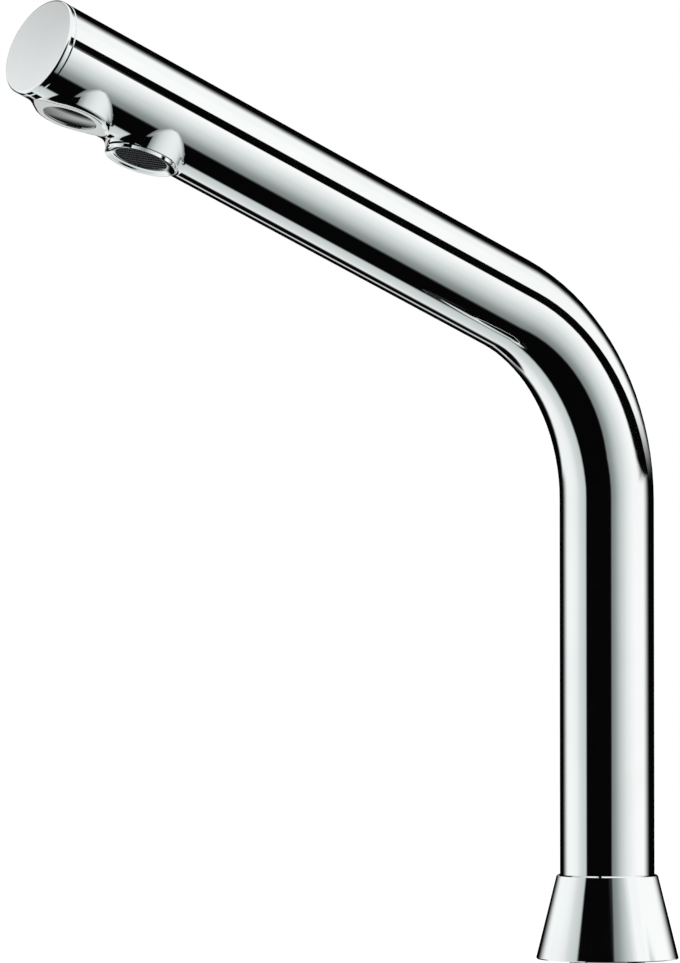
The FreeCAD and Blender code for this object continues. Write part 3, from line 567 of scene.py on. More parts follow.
def wear(piece: bpy.types.Object, slot: Slot) -> None:
    """Gives a piece one finish all over."""
    piece.data.materials.clear()
    piece.data.materials.append(material(slot))


# ---------------------------------------------------------------- true surfaces, for smooth chrome


SKIN_REACH = 0.02 * MM  # how near a corner has to be to a surface to lie on it
SKIN_SWING = math.cos(math.radians(16))  # how far a face may lean from the surface that it is part of
BLEND_STEPS = 5  # of the search for the middle of the ball that rolls in a blend
BLEND_REACH = 1.5  # radii within which a corner of a blend lies from both of its surfaces
TINY = 1e-6  # keeps a division from failing on a boss's own axis
PARALLEL = 0.999  # the cosine from which two surfaces run too close to parallel for a blend


class Surface:
    """A true surface of the model, from which corners that lie on it take their normals."""

    def off(self, p: Vector) -> float:
        """How far p is outside the surface."""
        raise NotImplementedError

    def out(self, p: Vector) -> Vector:
        """The outward direction at p."""
        raise NotImplementedError

    def normal(self, p: Vector, lean: Vector) -> Vector | None:
        """The normal at a corner.

        Args:
            p: the corner.
            lean: about the way that its faces point.

        Returns:
            The surface's outward normal, or None where the corner isn't on it.
        """
        return self.out(p) if abs(self.off(p)) <= SKIN_REACH else None


class Rounded(Surface):
    """A surface that keeps one radius from a line or a point."""

    radius: float

    def arm(self, p: Vector) -> Vector:
        """The way from the line or point to p."""
        raise NotImplementedError

    def off(self, p: Vector) -> float:
        """How far p is outside the radius."""
        return self.arm(p).length - self.radius

    def out(self, p: Vector) -> Vector:
        """The way out at p."""
        return self.arm(p).normalized()


@dataclass(frozen=True)
class Round(Rounded):
    """The skin of a straight cylinder about the axis through start. It runs from low to high along it."""

    start: Vector
    axis: Vector
    radius: float
    low: float = 0.0
    high: float = math.inf

    def arm(self, p: Vector) -> Vector:
        """The way from the axis to p."""
        return p - self.start - self.axis * (p - self.start).dot(self.axis)

    def normal(self, p: Vector, lean: Vector) -> Vector | None:
        """The normal at a corner between the two ends."""
        on = self.low <= (p - self.start).dot(self.axis) <= self.high
        return super().normal(p, lean) if on else None


@dataclass(frozen=True)
class Bend(Rounded):
    """The skin of a bent tube: part of a torus."""

    centre: Vector
    axis: Vector
    bend_radius: float
    radius: float

    def arm(self, p: Vector) -> Vector:
        """The way from the bent centre line to p."""
        flat = p - self.centre
        flat = flat - self.axis * flat.dot(self.axis)
        return p - self.centre - flat.normalized() * self.bend_radius


@dataclass(frozen=True)
class Ball(Rounded):
    """A crowned face: part of a large ball."""

    centre: Vector
    radius: float

    def arm(self, p: Vector) -> Vector:
        """The way from the centre to p."""
        return p - self.centre


@dataclass(frozen=True)
class Cone(Surface):
    """The skin of a cone about the vertical axis, from the radius at low to the radius at high."""

    low: float
    low_radius: float
    high: float
    high_radius: float

    @property
    def slope(self) -> float:
        """How much its radius shrinks over its height."""
        return (self.low_radius - self.high_radius) / (self.high - self.low)

    def off(self, p: Vector) -> float:
        """How far p is outside the cone, measured level."""
        return math.hypot(p.x, p.y) - self.low_radius + self.slope * (p.z - self.low)

    def out(self, p: Vector) -> Vector:
        """The way out at p."""
        return (Vector((p.x, p.y, 0.0)).normalized() + Vector((0, 0, self.slope))).normalized()


@dataclass(frozen=True)
class Plane(Surface):
    """A flat face."""

    point: Vector
    way: Vector

    def off(self, p: Vector) -> float:
        """How far p is above the face."""
        return (p - self.point).dot(self.way)

    def out(self, p: Vector) -> Vector:
        """The way out, which is the same all over."""
        return self.way


@dataclass(frozen=True)
class Flank(Surface):
    """The wall of a boss: round at the tube's bottom line, and wider across the tube further up."""

    centre: Vector  # on the arm's centre line
    along: Vector
    down: Vector
    radius: float
    low: float  # the depth at which it is round
    high: float  # the depth at which it has its full width
    wide: float  # half of that width

    def level(self, p: Vector) -> Vector:
        """The place of p across the tube, along it and below its axis."""
        away = p - self.centre
        return Vector((away.x, away.dot(self.along), away.dot(self.down)))

    def slant(self) -> float:
        """How much half its width shrinks with depth."""
        return (self.wide - self.radius) / (self.low - self.high)

    def shape(self, p: Vector) -> tuple[float, Vector]:
        """The outline's function at p, which is 1 on the wall, and its gradient in the level frame.

        Args:
            p: a point.

        Returns:
            The value and the gradient.
        """
        x, y, depth = self.level(p)
        half = self.radius + self.slant() * (self.low - depth)
        value = max(math.hypot(x / half, y / self.radius), TINY)
        gradient = Vector((x / half**2, y / self.radius**2, self.slant() * x * x / half**3)) / value
        return value, gradient

    def off(self, p: Vector) -> float:
        """How far p is outside the wall, roughly so where it is far away.

        Args:
            p: a point.

        Returns:
            The distance, negative inside.
        """
        away = abs((p - self.centre).dot(self.along))
        if away > 2 * self.radius:
            return away - self.radius
        value, gradient = self.shape(p)
        return (value - 1) / gradient.length

    def out(self, p: Vector) -> Vector:
        """The way out at p."""
        gradient = self.shape(p)[1]
        way = Vector((gradient.x, 0, 0)) + self.along * gradient.y + self.down * gradient.z
        return way.normalized()


@dataclass(frozen=True)
class Blend(Surface):
    """A rolled fillet between two surfaces. Its radius is positive in a hollow and negative on an edge."""

    first: Surface
    second: Surface
    radius: float

    def normal(self, p: Vector, lean: Vector) -> Vector | None:
        """The normal at a corner, which points from or to the centre of the ball that rolls there.

        Args:
            p: the corner.
            lean: about the way that its faces point.

        Returns:
            The normal, or None where the corner isn't on the blend.
        """
        reach = BLEND_REACH * abs(self.radius)
        if abs(self.first.off(p)) > reach or abs(self.second.off(p)) > reach:
            return None
        centre = p + lean * self.radius
        for _ in range(BLEND_STEPS):
            a, b = self.first.out(centre), self.second.out(centre)
            e, f = self.first.off(centre) - self.radius, self.second.off(centre) - self.radius
            k = a.dot(b)
            if abs(k) > PARALLEL:
                return None
            ridge = a.cross(b).normalized()
            centre += (a * (k * f - e) + b * (k * e - f)) / (1 - k * k) - ridge * (centre - p).dot(ridge)
        way = (centre - p) / self.radius
        if abs(way.length - 1) * abs(self.radius) > 2 * SKIN_REACH:
            return None
        return way.normalized()


def true_normals(mesh: bpy.types.Mesh, surfaces: tuple[Surface, ...]) -> None:
    """Gives each corner of a mesh that lies on one of the surfaces its exact normal.

    Args:
        mesh: the mesh of a skin.
        surfaces: the true surfaces. The first that fits a corner counts.
    """
    normals = [corner.vector.copy() for corner in mesh.corner_normals]
    known = [[n for n in (s.normal(v.co, v.normal) for s in surfaces) if n] for v in mesh.vertices]
    for face in mesh.polygons:
        for corner in face.loop_indices:
            for found in known[mesh.loops[corner].vertex_index]:
                if found.dot(face.normal) > SKIN_SWING:
                    normals[corner] = found
                    break
    mesh.normals_split_custom_set([tuple(n) for n in normals])


# ---------------------------------------------------------------- pieces


def placed(
    name: str, work: bmesh.types.BMesh, slot: Slot, node: str, body: str, sharp: float
) -> bpy.types.Object:
    """Turns a bmesh into a piece that rides on a body and stands for a CAD node.

    Args:
        name: the piece's name.
        work: its bmesh, which is freed.
        slot: its finish.
        node: the CAD node that it stands for.
        body: the CAD body that it rides on.
        sharp: degrees between two faces from which their edge is a sharp one.

    Returns:
        The new piece.
    """
    for face in work.faces:
        face.smooth = True
    for edge in work.edges:
        edge.smooth = len(edge.link_faces) == 2 and edge.calc_face_angle(0.0) < math.radians(sharp)
    mesh = bpy.data.meshes.new(name)
    work.to_mesh(mesh)
    work.free()
    piece = bpy.data.objects.new(name, mesh)
    bpy.context.scene.collection.objects.link(piece)
    wear(piece, slot)
    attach(piece, body)
    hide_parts(node)
    LOG.info("%s: %d faces stand for %s", name, len(mesh.polygons), node)
    return piece


def skin(node: str, slot: Slot, surfaces: tuple[Surface, ...], sharp: float = 30.0) -> None:
    """A copy of a node of the tap with its triangles joined, smooth where the real one is.

    Args:
        node: the CAD node.
        slot: its finish.
        surfaces: true surfaces that give its corners their exact normals.
        sharp: degrees between two faces from which their edge is a sharp one.
    """
    work = bmesh.new()
    work.from_mesh(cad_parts[node].data)
    bmesh.ops.remove_doubles(work, verts=work.verts, dist=MERGE_CAD)
    work.normal_update()
    true_normals(placed(f"{node}_skin", work, slot, node, "tap", sharp).data, surfaces)


def new_piece(name: str, work: bmesh.types.BMesh, slot: Slot, node: str, body: str = "tap") -> None:
    """Turns a new shape into a piece.

    Args:
        name: the piece's name.
        work: its bmesh, which is freed.
        slot: its finish.
        node: the CAD node that it stands for.
        body: the CAD body that it rides on.
    """
    bmesh.ops.recalc_face_normals(work, faces=work.faces)
    placed(name, work, slot, node, body, sharp=32.0)


class Assembly:
    """A sub-assembly: the pieces that are made again, and the CAD nodes that only get a finish."""

    worn: ClassVar[dict[Slot, tuple[str, ...]]] = {}

    def pieces(self) -> None:
        """Makes the new pieces. The plain sub-assembly has none."""

    def build(self) -> None:
        """Makes the new pieces and gives the nodes that stay their finishes."""
        self.pieces()
        for slot, nodes in self.worn.items():
            for node in nodes:
                wear(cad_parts[node], slot)
                LOG.info("%s wears %s", node, slot.name)


# ---------------------------------------------------------------- shapes made with bmesh


THREAD_SECTION = ((0, 0.06), (1, 0.42), (1, 0.58), (0, 0.94))  # shares of the depth and of the pitch
NUT_FACE = 0.47  # radius of a nut's turned face, as a share of its width across the flats
NUT_SINK = 0.5 * MM
NUT_CHAMFER = math.radians(30)
NUT_EDGE = 0.02 * MM  # the least height of the chamfer, in the middle of a flat

Points = list[tuple[float, float]]


def revolve(profile: Points, segments: int = 72) -> bmesh.types.BMesh:
    """Spins a profile of radii and heights round the Z axis.

    Args:
        profile: radii and heights, in order.
        segments: steps in the turn.

    Returns:
        The bmesh.
    """
    work = bmesh.new()
    corners = [work.verts.new((radius, 0, height)) for radius, height in profile]
    edges = [work.edges.new(pair) for pair in zip(corners, corners[1:])]
    if profile[0][0] > 0 and profile[-1][0] > 0:
        edges.append(work.edges.new((corners[-1], corners[0])))
    bmesh.ops.spin(
        work, geom=corners + edges, cent=(0, 0, 0), axis=(0, 0, 1),
        angle=2 * math.pi, steps=segments, use_merge=True,
    )
    bmesh.ops.remove_doubles(work, verts=work.verts, dist=MERGE_NEW)
    return work


def thread(
    radius: float, depth: float, pitch: float, foot: float, turns: int, segments: int = 36
) -> bmesh.types.BMesh:
    """The ridge of a thread, wound upwards round the Z axis from foot.

    Args:
        radius: of its crest.
        depth: from the crest to the root.
        pitch: its rise in a turn.
        foot: the height at which it starts.
        turns: how many.
        segments: steps in a turn.

    Returns:
        The bmesh of the closed ridge.
    """
    work = bmesh.new()
    root = radius - depth
    section = [(root + out * depth, 0, foot + up * pitch) for out, up in THREAD_SECTION]
    start = work.faces.new([work.verts.new(corner) for corner in section])
    bmesh.ops.spin(
        work, geom=[start], cent=(0, 0, 0), axis=(0, 0, 1), dvec=(0, 0, pitch / segments),
        angle=2 * math.pi * turns, steps=segments * turns,
    )
    bmesh.ops.remove_doubles(work, verts=work.verts, dist=MERGE_NEW)
    return work


def hexagon_nut(across: float, bore: float, foot: float, top: float) -> bmesh.types.BMesh:
    """A hexagon nut with turned corners and a countersunk bore.

    Args:
        across: its width across the flats.
        bore: the radius of its hole.
        foot: the height of its lower face.
        top: the height of its upper face.

    Returns:
        The bmesh.
    """
    face, sink = NUT_FACE * across, bore + NUT_SINK
    work = revolve([
        (bore, foot + NUT_SINK), (sink, foot), (face, foot), (across, foot),
        (across, top), (face, top), (sink, top), (bore, top - NUT_SINK),
    ])
    for corner in work.verts:
        if corner.co.xy.length < across / 2:
            continue
        way = corner.co.xy.normalized()
        side = math.fmod(math.atan2(way.y, way.x) + 2 * math.pi, math.pi / 3) - math.pi / 6
        reach = across / 2 / math.cos(side)
        drop = max(NUT_EDGE, (reach - face) * math.tan(NUT_CHAMFER))
        height = foot + drop if corner.co.z < (foot + top) / 2 else top - drop
        corner.co = (reach * way.x, reach * way.y, height)
    return work


def bar(section: Points, at: float, half: float, across: bool) -> bmesh.types.BMesh:
    """A straight bar with this section of offsets and heights.

    Args:
        section: its corners.
        at: its place beside the axis.
        half: half its length.
        across: True where it runs along X, False along Y.

    Returns:
        The bmesh.
    """
    work = bmesh.new()
    end = [(-half, at + offset, z) if across else (at + offset, -half, z) for offset, z in section]
    face = work.faces.new([work.verts.new(corner) for corner in end])
    grown = bmesh.ops.extrude_face_region(work, geom=[face])["geom"]
    far = [item for item in grown if isinstance(item, bmesh.types.BMVert)]
    bmesh.ops.translate(work, verts=far, vec=(2 * half, 0, 0) if across else (0, 2 * half, 0))
    return work


def joined(parts: list[bmesh.types.BMesh]) -> bmesh.types.BMesh:
    """One bmesh of several, which are freed.

    Args:
        parts: the bmeshes.

    Returns:
        The whole.
    """
    whole = bmesh.new()
    for part in parts:
        mesh = bpy.data.meshes.new("part")
        part.to_mesh(mesh)
        part.free()
        whole.from_mesh(mesh)
        bpy.data.meshes.remove(mesh)
    return whole


# ---------------------------------------------------------------- sub-assemblies


@dataclass
class Spout(Assembly):
    """The bent tube with its two bosses, and the crowned cap on its end."""

    tube_radius: float = 16.0 * MM
    column_height: float = 155.5 * MM
    bend_radius: float = 70.0 * MM
    arm_rise: float = math.radians(20.7)
    arm_length: float = 205.0 * MM
    arm_slack: float = 1.0 * MM  # how far past the arm's ends its corners may lie
    boss_radius: float = 12.1 * MM
    boss_wide: float = 14.2 * MM
    boss_wide_depth: float = 6.0 * MM
    boss_blend: float = 2.6 * MM
    sensor_from_end: float = 19.5 * MM
    sensor_depth: float = 16.1 * MM
    sensor_edge: float = 1.8 * MM
    outlet_from_end: float = 49.5 * MM
    outlet_depth: float = 16.4 * MM
    cap_crown: float = 0.35 * MM
    cap_edge: float = 0.9 * MM
    worn: ClassVar = {Slot.rubber: ("cap_seal",)}

    @property
    def arm_way(self) -> Vector:
        """The direction of the arm, from the bend to the cap."""
        return Vector((0, -math.cos(self.arm_rise), math.sin(self.arm_rise)))

    @property
    def down(self) -> Vector:
        """The direction in which the bosses stand out of the arm."""
        return Vector((0, -math.sin(self.arm_rise), -math.cos(self.arm_rise)))

    @property
    def arm_start(self) -> Vector:
        """Where the bend ends and the arm begins."""
        turn = math.pi / 2 - self.arm_rise
        run = self.bend_radius * (1 - math.cos(turn))
        return Vector((0, -run, self.column_height + self.bend_radius * math.sin(turn)))

    @property
    def arm_end(self) -> Vector:
        """The middle of the cap's face."""
        return self.arm_start + self.arm_way * self.arm_length

    def under_arm(self, from_end: float, depth: float = 0.0) -> Vector:
        """The point this far from the cap's face and this deep under the arm's centre line."""
        return self.arm_end - self.arm_way * from_end + self.down * depth

    def laid(self, work: bmesh.types.BMesh, from_end: float) -> bmesh.types.BMesh:
        """Lays a bmesh under the arm, where its heights count downwards from the arm's centre line.

        Args:
            work: the bmesh.
            from_end: how far its axis is from the cap's face.

        Returns:
            The same bmesh.
        """
        place = Matrix((Vector((1, 0, 0)), self.arm_way, self.down)).transposed().to_4x4()
        place.translation = self.under_arm(from_end)
        bmesh.ops.transform(work, matrix=place, verts=work.verts)
        return work

    def boss(self, from_end: float) -> Flank:
        """The wall of a boss."""
        return Flank(
            self.under_arm(from_end), self.arm_way, self.down, self.boss_radius,
            low=self.tube_radius, high=self.boss_wide_depth, wide=self.boss_wide,
        )

    def pieces(self) -> None:
        """Makes the chrome skins of the tube and the cap."""
        column = Round(Vector((0, 0, 0)), Vector((0, 0, 1)), self.tube_radius, high=self.column_height)
        centre = Vector((0, -self.bend_radius, self.column_height))
        bend = Bend(centre, Vector((1, 0, 0)), self.bend_radius, self.tube_radius)
        past = self.arm_length + self.arm_slack
        arm = Round(self.arm_start, self.arm_way, self.tube_radius, -self.arm_slack, past)
        bosses = [self.boss(from_end) for from_end in (self.sensor_from_end, self.outlet_from_end)]
        hollows = [Blend(boss, arm, self.boss_blend) for boss in bosses]
        sensor_face = Plane(self.under_arm(self.sensor_from_end, self.sensor_depth), self.down)
        outlet_face = Plane(self.under_arm(self.outlet_from_end, self.outlet_depth), self.down)
        edge = Blend(bosses[0], sensor_face, -self.sensor_edge)
        surfaces = (column, bend, arm, sensor_face, outlet_face, *bosses, *hollows, edge)
        skin("spout_tube", Slot.chrome_tube, surfaces, sharp=24.0)
        ball_radius = (self.tube_radius**2 + self.cap_crown**2) / (2 * self.cap_crown)
        crown = Ball(self.under_arm(ball_radius), ball_radius)
        skin("end_cap", Slot.chrome_cap, (arm, crown, Blend(crown, arm, -self.cap_edge)))


@dataclass
class Base(Assembly):
    """The conical base with its gasket and grub screw."""

    height: float = 28.5 * MM
    foot_radius: float = 24.2 * MM
    top_radius: float = 17.1 * MM
    worn: ClassVar = {Slot.rubber: ("base_gasket",), Slot.steel: ("grub_screw",)}

    def pieces(self) -> None:
        """Makes the cone's chrome skin."""
        cone = Cone(0.0, self.foot_radius, self.height, self.top_radius)
        top = Plane(Vector((0, 0, self.height)), Vector((0, 0, 1)))
        skin("base_body", Slot.chrome_base, (cone, top))


@dataclass
class SensorHead(Assembly):
    """The window in the front boss, and the sensor behind it."""

    spout: Spout
    pane_radius: float = 8.7 * MM
    rim_radius: float = 9.45 * MM
    front: float = 15.8 * MM
    crown: float = 0.3 * MM
    edge: float = 0.15 * MM
    step: float = 14.55 * MM
    back: float = 13.6 * MM
    crown_steps: int = 12
    worn: ClassVar = {
        Slot.rubber: ("window_seal",),
        Slot.black_plastic: ("sensor_housing", "light_baffle"),
        Slot.grey_plastic: ("sensor_cradle",),
        Slot.board: ("sensor_board",),
        Slot.clear: ("ir_emitter",),
        Slot.dark_clear: ("ir_receiver",),
        Slot.lead: ("sensor_lead",),
    }

    def pieces(self) -> None:
        """Makes the window with its slightly domed face."""
        flat = self.pane_radius - self.edge
        shares = [i / self.crown_steps for i in range(self.crown_steps + 1)]
        profile = [(share * flat, self.front + self.crown * (1 - share**2)) for share in shares]
        profile += [
            (self.pane_radius, self.front - self.edge), (self.pane_radius, self.step),
            (self.rim_radius, self.step), (self.rim_radius, self.back), (0.0, self.back),
        ]
        work = self.spout.laid(revolve(profile), self.spout.sensor_from_end)
        new_piece("window_pane", work, Slot.window, "sensor_window")


@dataclass
class Outlet(Assembly):
    """The aerator in the second boss and the water's way to it."""

    spout: Spout
    collar_radius: float = 11.7 * MM
    radius: float = 8.95 * MM
    rim: float = 0.45 * MM
    foot: float = 16.4 * MM
    top: float = 13.0 * MM
    pitch: float = 1.2 * MM
    web: float = 0.26 * MM
    web_edge: float = 0.09 * MM
    worn: ClassVar = {
        Slot.rubber: ("aerator_seal",),
        Slot.grey_plastic: ("jet_plate", "aerator_screen"),
        Slot.brass: ("outlet_elbow",),
        Slot.white_plastic: ("water_hose",),
        Slot.steel: ("hose_ferrules",),
    }

    def section(self, low: float, high: float) -> Points:
        """A wall of the insert from one side to the other, with its lower edges broken.

        Args:
            low: one side of the wall.
            high: the other side.

        Returns:
            Its corners.
        """
        top, foot, edge = self.top, self.foot, self.web_edge
        return [
            (low, top), (low, foot - edge), (low + edge, foot),
            (high - edge, foot), (high, foot - edge), (high, top),
        ]

    def grid(self) -> None:
        """Makes the dark insert with its fine square channels."""
        web = self.section(-self.web / 2, self.web / 2)
        inner = self.radius - self.rim
        count = int(inner / self.pitch)
        parts = []
        for i in range(-count, count + 1):
            half = math.sqrt(inner**2 - (i * self.pitch) ** 2) + self.rim / 2
            parts += [bar(web, i * self.pitch, half, across) for across in (True, False)]
        parts.append(revolve(self.section(inner, self.radius)))
        work = self.spout.laid(joined(parts), self.spout.outlet_from_end)
        new_piece("outlet_grid", work, Slot.insert, "flow_straightener")

    def pieces(self) -> None:
        """Makes the collar's chrome skin and the insert's grid."""
        centre = self.spout.under_arm(self.spout.outlet_from_end)
        collar = Round(centre, self.spout.down, self.collar_radius)
        skin("aerator_housing", Slot.chrome_aerator, (collar,))
        self.grid()


class Valve(Assembly):
    """The solenoid valve and the check valve in the foot of the column."""

    worn: ClassVar = {
        Slot.brass: ("valve_body", "valve_cover"),
        Slot.white_plastic: ("check_cartridge", "valve_piston"),
        Slot.grey_plastic: ("check_poppet", "coil_bobbin"),
        Slot.black_plastic: ("coil_cap",),
        Slot.rubber: ("cartridge_seals", "piston_seal"),
        Slot.steel: (
            "inlet_filter", "check_spring", "cover_screws", "core_tube", "fixed_core", "plunger",
            "plunger_spring",
        ),
        Slot.zinc_steel: ("coil_can", "latch_magnet"),
        Slot.copper: ("coil_winding",),
        Slot.lead: ("coil_lead",),
    }


@dataclass
class DeckFixing(Assembly):
    """The studs under the base and the clamp that runs on them."""

    stud_offset: float = 13.0 * MM
    stud_radius: float = 3.0 * MM
    stud_foot: float = -62.0 * MM
    stud_top: float = 12.0 * MM
    stud_point: float = 0.5 * MM
    stud_segments: int = 36
    thread_pitch: float = 1.0 * MM
    thread_depth: float = 0.55 * MM
    thread_sink: float = 0.055 * MM  # how far the ridge reaches into the core
    thread_turns: int = 58
    nut_across: float = 10.0 * MM
    nut_bore: float = 3.05 * MM
    nut_foot: float = -33.7 * MM
    washer_radius: float = 4.9 * MM
    washer_bore: float = 3.25 * MM
    washer_foot: float = -25.7 * MM
    washer_top: float = -24.5 * MM
    washer_edge: float = 0.15 * MM
    worn: ClassVar = {Slot.rubber: ("lead_grommets", "clamp_pad"), Slot.zinc_steel: ("clamp_plate",)}

    def stud(self) -> bmesh.types.BMesh:
        """A stud: its core, and the thread wound on it up to the base.

        Returns:
            The bmesh.
        """
        core, point = self.stud_radius - self.thread_depth, self.stud_point
        neck = self.stud_foot + (self.thread_turns + 2) * self.thread_pitch
        profile = [
            (0.0, self.stud_foot), (core - point, self.stud_foot), (core, self.stud_foot + point),
            (core, neck - self.thread_depth), (self.stud_radius, neck),
            (self.stud_radius, self.stud_top - point), (core, self.stud_top), (0.0, self.stud_top),
        ]
        depth = self.thread_depth + self.thread_sink
        foot = self.stud_foot + self.thread_pitch
        steps = self.stud_segments
        ridge = thread(self.stud_radius, depth, self.thread_pitch, foot, self.thread_turns, steps)
        return joined([revolve(profile, steps), ridge])

    def washer(self) -> bmesh.types.BMesh:
        """A washer with slightly rounded edges.

        Returns:
            The bmesh.
        """
        edge, foot, top = self.washer_edge, self.washer_foot, self.washer_top
        inner, outer = self.washer_bore, self.washer_radius
        return revolve([
            (inner, foot), (outer - edge, foot), (outer, foot + edge),
            (outer, top - edge), (outer - edge, top), (inner, top),
        ])

    def nut(self) -> bmesh.types.BMesh:
        """A nut under its washer."""
        return hexagon_nut(self.nut_across, self.nut_bore, self.nut_foot, self.washer_foot)

    def pair(
        self, name: str, shape: Callable[[], bmesh.types.BMesh], slot: Slot, node: str, body: str
    ) -> None:
        """Makes one piece of two like shapes, one on each stud's axis.

        Args:
            name: the piece's name.
            shape: the method that makes one.
            slot: its finish.
            node: the CAD node that it stands for.
            body: the CAD body that it rides on.
        """
        both = [shape(), shape()]
        for work, side in zip(both, (-1, 1)):
            bmesh.ops.translate(work, verts=work.verts, vec=(0, side * self.stud_offset, 0))
        new_piece(name, joined(both), slot, node, body)

    def pieces(self) -> None:
        """Makes the studs, washers and nuts."""
        self.pair("threaded_studs", self.stud, Slot.steel, "fixing_studs", "tap")
        self.pair("turned_washers", self.washer, Slot.zinc_steel, "clamp_washers", "deck_clamp")
        self.pair("turned_nuts", self.nut, Slot.brass, "clamp_nuts", "deck_clamp")


# ---------------------------------------------------------------- studio


MIRROR_LOSS = 0.955  # how much of the light chrome gives back
GREEN_CAST = 0.05  # how much red the middle greys lack in the photo
BLUE_SHARE = 0.15  # and how much blue, as a share of that


@dataclass(frozen=True)
class Camera:
    """The photograph's camera."""

    bearing: float = 48.43  # degrees, of its place as seen from the base
    place: tuple[float, float, float] = (1.3348, -1.1838, 0.110)
    look_bearing: float = 51.34  # degrees, the way it looks
    look_up: float = 1.66
    focal_pixels: float = 5250.0
    sensor: float = 36.0  # mm
    clip: tuple[float, float] = (0.05, 50.0)

    def build(self) -> None:
        """Makes the camera and sets it as the scene's."""
        data = bpy.data.cameras.new("camera")
        data.sensor_width = self.sensor
        data.lens = self.focal_pixels * self.sensor / PICTURE_HEIGHT
        data.clip_start, data.clip_end = self.clip
        camera = bpy.data.objects.new("camera", data)
        bpy.context.scene.collection.objects.link(camera)
        turn, up = math.radians(self.look_bearing), math.radians(self.look_up)
        way = Vector((-math.sin(turn) * math.cos(up), math.cos(turn) * math.cos(up), math.sin(up)))
        camera.location = self.place
        camera.rotation_mode = "QUATERNION"
        camera.rotation_quaternion = way.to_track_quat("-Z", "Y")
        bpy.context.scene.camera = camera


def mirrored(grey: float) -> Colour:
    """The light that chrome shows as this grey. The middle greys are a little green, as in the photo.

    Args:
        grey: 0 to 255, as seen on a screen.

    Returns:
        The linear colour.
    """
    green = GREEN_CAST * math.sin(math.pi * grey / 255)
    shown = linear(grey * (1 - green), grey, grey * (1 - BLUE_SHARE * green))
    return tuple(min(1.0, v / MIRROR_LOSS) for v in shown[:3]) + (1.0,)


@dataclass(frozen=True)
class Shade:
    """One stop of a panel's brightness: degrees from its edge, and the grey that the chrome shows there."""

    away: float
    grey: float


def shades(*stops: float) -> tuple[Shade, ...]:
    """A panel's stops from pairs of degrees and greys."""
    return tuple(Shade(away, grey) for away, grey in zip(stops[::2], stops[1::2]))


@dataclass(frozen=True)
class Panel:
    """A white panel of the studio, seen only in reflections. Its brightness grows away from its edges."""

    edges: tuple[Vector, ...]
    shades: tuple[Shade, ...]

    def colour(self, tree: Tree, direction: bpy.types.NodeSocket) -> bpy.types.NodeSocket:
        """Adds the panel's nodes.

        Args:
            tree: the world's tree.
            direction: where a ray goes.

        Returns:
            The colour that it meets there.
        """
        inside = tree.dot(direction, self.edges[0])
        for edge in self.edges[1:]:
            inside = tree.math("MINIMUM", inside, tree.dot(direction, edge))
        ramp = tree.add("ShaderNodeValToRGB", {"Fac": inside})
        stops = ramp.color_ramp.elements
        while len(stops) < len(self.shades):
            stops.new(0.5)  # its real place follows
        for stop, shade in zip(stops, self.shades):
            stop.position = math.sin(math.radians(shade.away))
        for stop, shade in zip(stops, self.shades):
            stop.color = mirrored(shade.grey)
        return ramp.outputs["Color"]


@dataclass(frozen=True)
class Disc:
    """A round black flag with a soft edge."""

    turn: float
    rise: float
    inner: float  # degrees from its centre to where it begins to fade
    outer: float  # degrees to where it has gone
    depth: float = 1.0

    def cover(self, tree: Tree, direction: bpy.types.NodeSocket) -> bpy.types.NodeSocket:
        """How much of the light it takes in a direction, from 0 to 1.

        Args:
            tree: the world's tree.
            direction: where a ray goes.

        Returns:
            The share, as a socket.
        """
        towards = tree.dot(direction, heading(self.turn, self.rise))
        gone, full = (math.cos(math.radians(edge)) for edge in (self.outer, self.inner))
        covered = tree.rise(towards, gone, full)
        return covered if self.depth == 1.0 else tree.math("MULTIPLY", covered, self.depth)


@dataclass(frozen=True)
class Strip:
    """A black strip between two great circles, each given by two directions on it, and within a disc."""

    over: tuple[Vector, Vector]
    under: tuple[Vector, Vector]
    middle: Disc
    soft: float = 0.02

    def cover(self, tree: Tree, direction: bpy.types.NodeSocket) -> bpy.types.NodeSocket:
        """How much of the light it takes in a direction, from 0 to 1.

        Args:
            tree: the world's tree.
            direction: where a ray goes.

        Returns:
            The share, as a socket.
        """
        above = tree.rise(tree.dot(direction, plane(*self.over, up=True)), 0.0, self.soft)
        below = tree.rise(tree.dot(direction, plane(*self.under, up=True)), self.soft, 0.0)
        between = tree.math("MULTIPLY", above, below)
        return tree.math("MULTIPLY", between, self.middle.cover(tree, direction))


